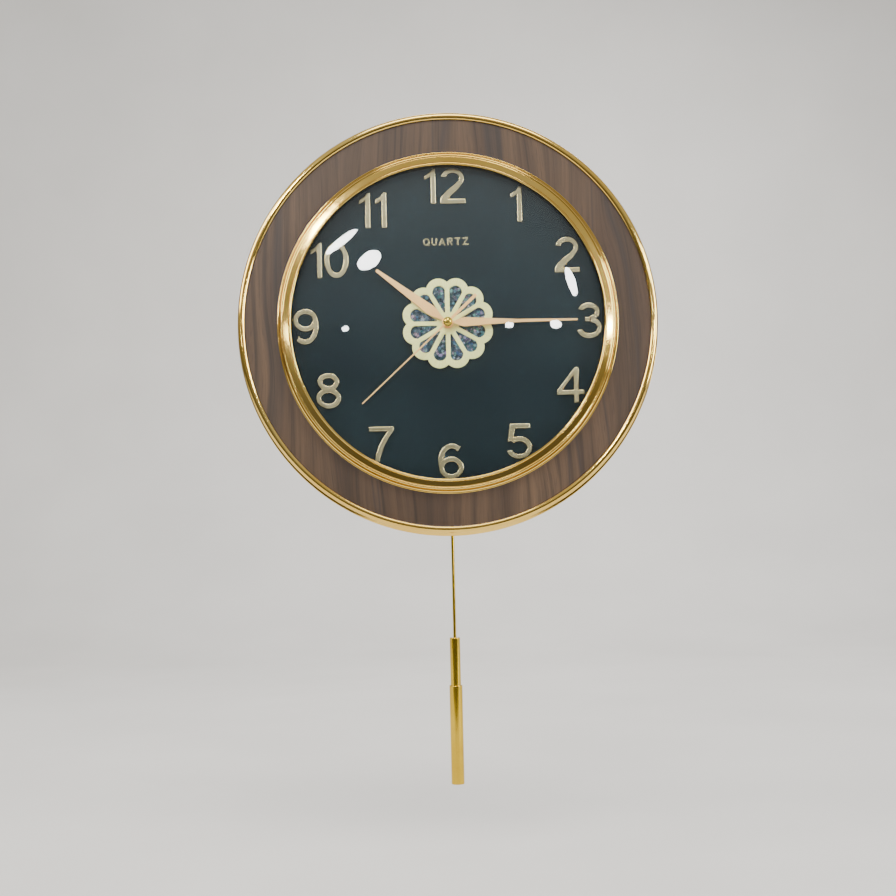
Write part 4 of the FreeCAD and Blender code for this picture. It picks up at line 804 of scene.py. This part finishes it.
def bow(x, y, across, up, stroke, start=0, sweep=360):
    """A stroke bent along an ellipse, as one or two shapes."""
    if sweep >= 360:
        halves = (0, 180)
        return [shape for half in halves for shape in bow(x, y, across, up, stroke, half, 181)]
    outside = oval(x, y, across, up, start, sweep)
    inside = oval(x, y, across - stroke, up - stroke, start, sweep)
    return [outside + inside[::-1]]


def bar(x1, y1, x2, y2, stroke):
    """A straight stroke between two points."""
    side = Vector((y1 - y2, x2 - x1)).normalized() * stroke / 2
    x, y = side
    return [(x1 - x, y1 - y), (x2 - x, y2 - y), (x2 + x, y2 + y), (x1 + x, y1 + y)]


DIGIT_HEIGHT = 33.7
STROKE = 4.8
# Where the middles of the two figures of an hour stand, left and right.
FIGURE_OFFSETS = {10: (-12.6, 6.6), 11: (-7.9, 7.6), 12: (-13.9, 7.4)}


def digit(number):
    """Shapes of a digit about its own middle, and shapes to take away."""
    high = DIGIT_HEIGHT / 2
    low = -high
    if number == 0:
        return bow(0, 0, 11.5, high, STROKE), []
    if number == 1:
        flag = [(5.4, low), (5.4, high), (2.4, high), (-0.4, 13.0), (-5.4, 9.9)]
        return [[*flag, (-5.4, 5.8), (-2.4, 7.2), (0.6, 9.4), (0.6, low)]], []
    if number == 2:
        neck = [(9.4, 2.1), (5.2, 4.4), (1.2, 0.4), (-4.8, -4.0), (-10.2, -9.2), (-11.9, -12.5)]
        neck += [(-4.6, -12.5), (-0.4, -8.2), (5.4, -3.4)]
        hook = bow(0, high - 9.75, 11, 9.75, STROKE, -28, 200)
        return [*hook, neck, box_shape(-11.9, low, 11.9, -12.4)], []
    if number == 3:
        upper = bow(-0.7, high - 8.65, 10.6, 8.65, STROKE, -75, 240)
        lower = bow(-0.2, low + 9.95, 12.2, 9.95, STROKE, -170, 250)
        return [*upper, *lower, box_shape(-4.4, -0.9, 0.4, 3.2)], []
    if number == 4:
        outline = [(2.9, low), (7.7, low), (7.7, -8.9), (13.1, -8.9), (13.1, -4.5), (7.7, -4.5)]
        outline += [(7.7, high), (3.8, high), (-13.1, -4.8), (-13.1, -8.9), (2.9, -8.9)]
        return [outline], [[(2.9, -4.5), (2.9, 9.8), (-8.0, -4.5)]]
    if number == 5:
        stem = [(-8.6, high), (-11, -0.4), (-6.4, 0.8), (-5.3, 4.4), (-3.6, 12.3)]
        bowl = bow(-0.1, low + 10.85, 12.2, 10.85, STROKE, -165, 305)
        return [box_shape(-8.6, 12.3, 10.4, high), stem, *bowl], []
    if number == 6:
        back = bow(1.2, 0, 13.3, high, STROKE, 58, 150)
        return [*back, *bow(0.4, low + 10.65, 11.7, 10.65, STROKE)], []
    if number == 7:
        leg = [(11.85, high), (11.85, 12.8), (6.6, 6.0), (2.0, -2.6), (-0.9, -11), (-1.9, low)]
        leg += [(-6.9, low), (-5.8, -10.4), (-2.6, -1.4), (1.8, 6.4), (6.0, 12.3)]
        return [[(-11.85, high), (-11.85, 12.3), *leg[::-1]]], []
    if number == 8:
        upper = bow(0, high - 8.45, 10.3, 8.45, STROKE)
        return [*upper, *bow(0, low + 9.85, 11.85, 9.85, STROKE)], []
    solids, _ = digit(6)
    return [[(-x, -y) for x, y in shape] for shape in solids], []


def moved(shapes, right):
    return [[(x + right, y) for x, y in shape] for shape in shapes]


def on_dial(node, shapes):
    """Maps millimetres about the shapes' middle to the frame, at the CAD node's place."""
    points = np.array([point for shape in shapes for point in shape])
    centre = (points.max(0) + points.min(0)) / 2
    spot = middle(node)
    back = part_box(node)[1].y
    return lambda x, y, up: (
        spot.x + (x - centre[0]) * MM, back - up * MM, spot.z + (y - centre[1]) * MM
    )


def numeral(hour):
    node = f"numeral_{hour}"
    figures = [int(figure) for figure in str(hour)]
    solids, holes = [], []
    for figure, offset in zip(figures, FIGURE_OFFSETS.get(hour, (0,))):
        shapes, cuts = digit(figure)
        solids += moved(shapes, offset)
        holes += moved(cuts, offset)
    place = on_dial(node, solids)
    mesh = plate(solids, holes, NUMERAL_THICKNESS, NUMERAL_ROUNDING, place)
    stand_in(mesh, node, FIGURE_CREASE)


def letter(name):
    """A capital's shapes about its own middle, 7 mm high."""
    top, wide, stroke = 3.5, 2.5, 1.25
    half = stroke / 2
    side = wide - half
    leg = box_shape(-wide, -top, stroke - wide, top)
    cross_bar = box_shape(-wide, top - stroke, wide, top)
    return {
        "Q": [*bow(0, 0, 3.1, top, stroke), bar(0.8, -1.2, 3.0, -3.6, stroke)],
        "U": [
            box_shape(-wide, -1, stroke - wide, top),
            box_shape(wide - stroke, -1, wide, top),
            *bow(0, -1, wide, top - 1, stroke, 180, 180),
        ],
        "A": [
            bar(-2.6, -top, 0, top - half, stroke),
            bar(0, top - half, 2.6, -top, stroke),
            box_shape(-1.8, -1.9, 1.8, -1.9 + stroke),
        ],
        "R": [
            leg,
            box_shape(-wide, top - stroke, 0.6, top),
            box_shape(-wide, -0.5, 0.6, -0.5 + stroke),
            *bow(0.6, (top - 0.5) / 2, 2.0, (top + 0.5) / 2, stroke, -90, 180),
            bar(0, 0, 2.3, -top, stroke),
        ],
        "T": [cross_bar, box_shape(-half, -top, half, top)],
        "Z": [
            cross_bar,
            box_shape(-wide, -top, wide, -top + stroke),
            bar(-side, -top + half, side, top - half, stroke),
        ],
    }[name]


def dial_word():
    word, spacing = "QUARTZ", 7.4
    solids = []
    for index, name in enumerate(word):
        solids += moved(letter(name), spacing * index)
    place = on_dial("dial_word", solids)
    mesh = plate(solids, [], WORD_THICKNESS, WORD_ROUNDING, place, longest=0.5)
    stand_in(mesh, "dial_word", FIGURE_CREASE)


def turned_by(shape, degrees):
    """The shape turned clockwise about the hands' axis."""
    angle = -math.radians(degrees)
    cos, sin = math.cos(angle), math.sin(angle)
    return [(x * cos - y * sin, x * sin + y * cos) for x, y in shape]


def about_axis(back):
    """Maps millimetres about the hands' axis to the frame, with the plate's back at out = back."""
    return lambda x, y, up: (x * MM, -(back + up) * MM, HANDS_AXIS + y * MM)


PETALS = 12


def rosette_frame():
    """A disc with a round petal and a drop-shaped window for each twelfth of the circle."""
    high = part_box("rosette_frame")[1]
    radius, petal, disc, bore = 43.4, 11.7, 37.9, 4.1
    tip, shoulder, crown, width, bulge = 10.6, 30.9, 5.4, 12.3, 6.2
    solids, holes = [oval(0, 0, disc, disc)], [oval(0, 0, bore, bore)]
    right = arc((width / 2, shoulder), (0, shoulder + crown), bulge, 8)
    left = arc((0, shoulder + crown), (-width / 2, shoulder), bulge, 8)
    window = [(0.6, tip), *right, *left[1:], (-0.6, tip)]
    for index in range(PETALS):
        degrees = 360 / PETALS * (index + 0.5)
        solids.append(turned_by(oval(0, radius - petal, petal, petal), degrees))
        holes.append(turned_by(window, degrees))
    place = about_axis(-high.y / MM)
    mesh = plate(solids, holes, ROSETTE_THICKNESS, ROSETTE_ROUNDING, place)
    stand_in(mesh, "rosette_frame", FIGURE_CREASE)


COLLET_SEGMENTS = 48


def collet(bore, wall, back, front):
    """The short sleeve that a hand is pressed on by."""
    outer = bore + wall
    profile = [(bore, back), (outer, back), (outer, front), (bore, front)]
    return spun(in_metres(profile), COLLET_SEGMENTS)


def hand(node, points, hub, bore, wall, out, back, front, turn):
    """A blade with its hub, on a collet from back to front. The blade's back is at out.

    Points are (half width, distance) up one side, hub and bore are radii, and turn is clockwise.
    """
    right = list(points)
    left = [(-x, y) for x, y in reversed(points)]
    solids = [turned_by(right + left, turn), oval(0, 0, hub, hub)]
    holes = [oval(0, 0, bore, bore)]
    blade = plate(solids, holes, HAND_THICKNESS, HAND_ROUNDING, about_axis(out), longest=2.5)
    stand_in(joined(blade, collet(bore, wall, back, front)), node, FIGURE_CREASE)


def hands():
    """At the time that the photograph shows. The angles are degrees clockwise from twelve."""
    hour = [(1.4, 2.6), (1.5, 7.5), (4.1, 15.5), (4.9, 20.0), (1.4, 83.4)]
    minute = [(1.2, 2.2), (1.3, 6.5), (3.7, 12.4), (4.4, 16.0), (1.6, 65.0), (0.9, 121.7)]
    second = [(1.5, -36.8), (1.3, -6.0), (0.75, 6.0), (0.55, 110.9)]
    hand(
        "hour_hand", hour,
        hub=5.3, bore=2.1, wall=1.0, out=42.4, back=41.2, front=42.6, turn=307.5,
    )
    hand(
        "minute_hand", minute,
        hub=4.9, bore=1.3, wall=1.0, out=45.4, back=44.2, front=45.6, turn=90.0,
    )
    hand(
        "second_hand", second,
        hub=4.0, bore=0.6, wall=0.9, out=48.4, back=47.0, front=49.6, turn=227.4,
    )


# Pendulum --------------------------------------------------------------------------------------

TUBE_SEGMENTS = 96
TUBE_WALL = 0.8
TUBE_END = 2.0
ROD_RADIUS = 1.5
UPPER_TUBE_RADIUS = 5.0


def tube(node, bore):
    """A tube with a top drilled to the bore's radius, and rounded ends."""
    low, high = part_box(node)
    radius = (high.x - low.x) / 2 / MM
    top, bottom = high.z / MM, low.z / MM
    inner, under = radius - TUBE_WALL, top - TUBE_END
    profile = [
        (bore, top, 0.1), (radius, top, 0.55), (radius, bottom, 0.35), (inner, bottom, 0.1),
        (inner, under), (bore, under),
    ]
    stand_in(spun(in_metres(softened(profile)), TUBE_SEGMENTS, upright=True), node)


# All the pieces --------------------------------------------------------------------------------


def build():
    outer_rim()
    inner_bezel()
    wood_ring()
    glass()
    second_hand_cap()
    for hour in range(1, 13):
        numeral(hour)
    dial_word()
    rosette_frame()
    hands()
    tube("upper_tube", ROD_RADIUS)
    tube("lower_tube", UPPER_TUBE_RADIUS)
    for node, thing in nodes.items():
        thing.data.materials.clear()
        thing.data.materials.append(finishes[slot_of[node]])


# Studio ----------------------------------------------------------------------------------------

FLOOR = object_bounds()[0].z - 0.09
FLOOR_FRONT = -0.9
FLOOR_COLUMNS = (-6.0, -3.0, 0.0, 3.0, 6.0)
SWEEP_START = 1.9
SWEEP_RADIUS = 1.1
BACKDROP_HEIGHT = 4.5
# Watts for each square metre of the rectangle round a small lamp.
LAMP_POWER = 260
CAMERA_PLACE = Vector((-0.004, -1.2, -0.3353))
CAMERA_ROLL = math.radians(-1.3)
CAMERA_LENS = 49.4
CAMERA_RISE = 0.08
SENSOR_WIDTH = 36.0


def floor():
    """A pale floor that sweeps up into a backdrop behind the clock."""
    sweep = [(FLOOR_FRONT, 0.0), (SWEEP_START, 0.0)]
    for degrees in range(6, 91, 6):
        angle = math.radians(degrees)
        sweep.append(
            (
                SWEEP_START + SWEEP_RADIUS * math.sin(angle),
                SWEEP_RADIUS - SWEEP_RADIUS * math.cos(angle),
            )
        )
    sweep.append((SWEEP_START + SWEEP_RADIUS, BACKDROP_HEIGHT))
    mesh = bpy.data.meshes.new("floor")
    body = bmesh.new()
    rows = [[body.verts.new((x, y, FLOOR + z)) for x in FLOOR_COLUMNS] for y, z in sweep]
    for first, second in zip(rows, rows[1:]):
        for index in range(len(first) - 1):
            corners = (first[index], first[index + 1], second[index + 1], second[index])
            body.faces.new(corners).smooth = True
    body.to_mesh(mesh)
    body.free()
    thing = bpy.data.objects.new("floor", mesh)
    bpy.context.scene.collection.objects.link(thing)
    paint = Paint("floor")
    tone = paint.noise(paint.place, 3.0, 4.0)
    paint.drive(
        "Base Color", paint.ramp(tone, (0.3, srgb(222, 219, 214)), (0.7, srgb(229, 226, 221)))
    )
    paint.drive("Roughness", paint.ramp(tone, (0.3, 0.75), (0.7, 0.85)))
    mesh.materials.append(paint.material)


def softbox(name, place, target, wide, high, power, colour=(1, 1, 1), shape="RECTANGLE", tilt=0):
    """A lamp that faces its target, turned by tilt degrees about its own aim."""
    light = bpy.data.lights.new(name, "AREA")
    light.shape = shape
    light.size = wide
    light.size_y = high
    light.energy = power
    light.color = colour
    thing = bpy.data.objects.new(name, light)
    thing.location = place
    aim = Vector(target) - Vector(place)
    turn = aim.to_track_quat("-Z", "Y") @ Quaternion((0, 0, 1), math.radians(tilt))
    thing.rotation_euler = turn.to_euler()
    bpy.context.scene.collection.objects.link(thing)


def lights():
    """Four soft lamps round the clock, and six small ones that the glass mirrors as spots."""
    clock = (0, -0.04, -0.2)
    dial = (0, -0.06, -0.13)
    softbox("key", (-2.1, -1.25, 1.05), clock, 1.1, 1.3, 46, (1.0, 0.96, 0.90))
    softbox("fill", (2.2, -1.2, 0.25), clock, 0.6, 1.5, 52, (0.94, 0.97, 1.0))
    softbox("top", (0.1, -1.35, 1.75), clock, 1.5, 0.7, 30, (1.0, 0.98, 0.95))
    softbox("back", (0.4, 1.3, 1.2), (0, 1.9, -0.3), 1.8, 1.0, 30)
    for name, place, wide, high, tilt in (
        ("lamp", (-0.87, -2.73, 1.03), 0.30, 0.20, 35),
        ("strip", (-1.17, -2.55, 1.25), 0.44, 0.10, 42),
        ("left_spot", (-1.18, -2.82, 0.26), 0.08, 0.07, 0),
        ("right_spot", (0.73, -2.96, 0.25), 0.10, 0.07, 0),
        ("far_spot", (1.24, -2.75, 0.25), 0.14, 0.10, 0),
        ("window", (1.39, -2.56, 0.72), 0.10, 0.34, 12),
    ):
        power = LAMP_POWER * wide * high
        softbox(name, place, dial, wide, high, power, shape="ELLIPSE", tilt=tilt)


def world():
    """Pale behind the clock; darker in what the glass and metal mirror, brighter overhead."""
    studio = bpy.data.worlds.new("studio")
    studio.use_nodes = True
    tree = studio.node_tree
    tree.nodes.clear()
    place = tree.nodes.new("ShaderNodeTexCoord").outputs["Generated"]
    split = tree.nodes.new("ShaderNodeSeparateXYZ")
    tree.links.new(place, split.inputs[0])
    ramp = tree.nodes.new("ShaderNodeValToRGB")
    stops = (
        (0.30, (0.10, 0.095, 0.09, 1)), (0.47, (0.13, 0.128, 0.125, 1)),
        (0.60, (0.33, 0.335, 0.34, 1)), (0.80, (0.62, 0.62, 0.62, 1)),
    )
    while len(ramp.color_ramp.elements) < len(stops):
        ramp.color_ramp.elements.new(0.5)
    for element, (position, colour) in zip(ramp.color_ramp.elements, stops):
        element.position = position
        element.color = colour
    height = tree.nodes.new("ShaderNodeMapRange")
    height.inputs["From Min"].default_value = -1.0
    tree.links.new(split.outputs["Z"], height.inputs["Value"])
    tree.links.new(height.outputs[0], ramp.inputs[0])
    room = tree.nodes.new("ShaderNodeBackground")
    tree.links.new(ramp.outputs[0], room.inputs["Color"])
    seen = tree.nodes.new("ShaderNodeBackground")
    seen.inputs["Color"].default_value = (0.70, 0.69, 0.67, 1)
    path = tree.nodes.new("ShaderNodeLightPath")
    mix = tree.nodes.new("ShaderNodeMixShader")
    tree.links.new(path.outputs["Is Camera Ray"], mix.inputs[0])
    tree.links.new(room.outputs[0], mix.inputs[1])
    tree.links.new(seen.outputs[0], mix.inputs[2])
    output = tree.nodes.new("ShaderNodeOutputWorld")
    tree.links.new(mix.outputs[0], output.inputs[0])
    bpy.context.scene.world = studio


def camera():
    """Level and below the dial, with its frame raised, as the photograph shows round circles."""
    lens = bpy.data.cameras.new("camera")
    lens.lens = CAMERA_LENS
    lens.sensor_width = SENSOR_WIDTH
    lens.shift_y = CAMERA_RISE
    thing = bpy.data.objects.new("camera", lens)
    thing.matrix_world = (
        Matrix.Translation(CAMERA_PLACE)
        @ Matrix.Rotation(math.pi / 2, 4, "X")
        @ Matrix.Rotation(CAMERA_ROLL, 4, "Z")
    )
    bpy.context.scene.collection.objects.link(thing)
    bpy.context.scene.camera = thing


build()
floor()
lights()
world()
camera()
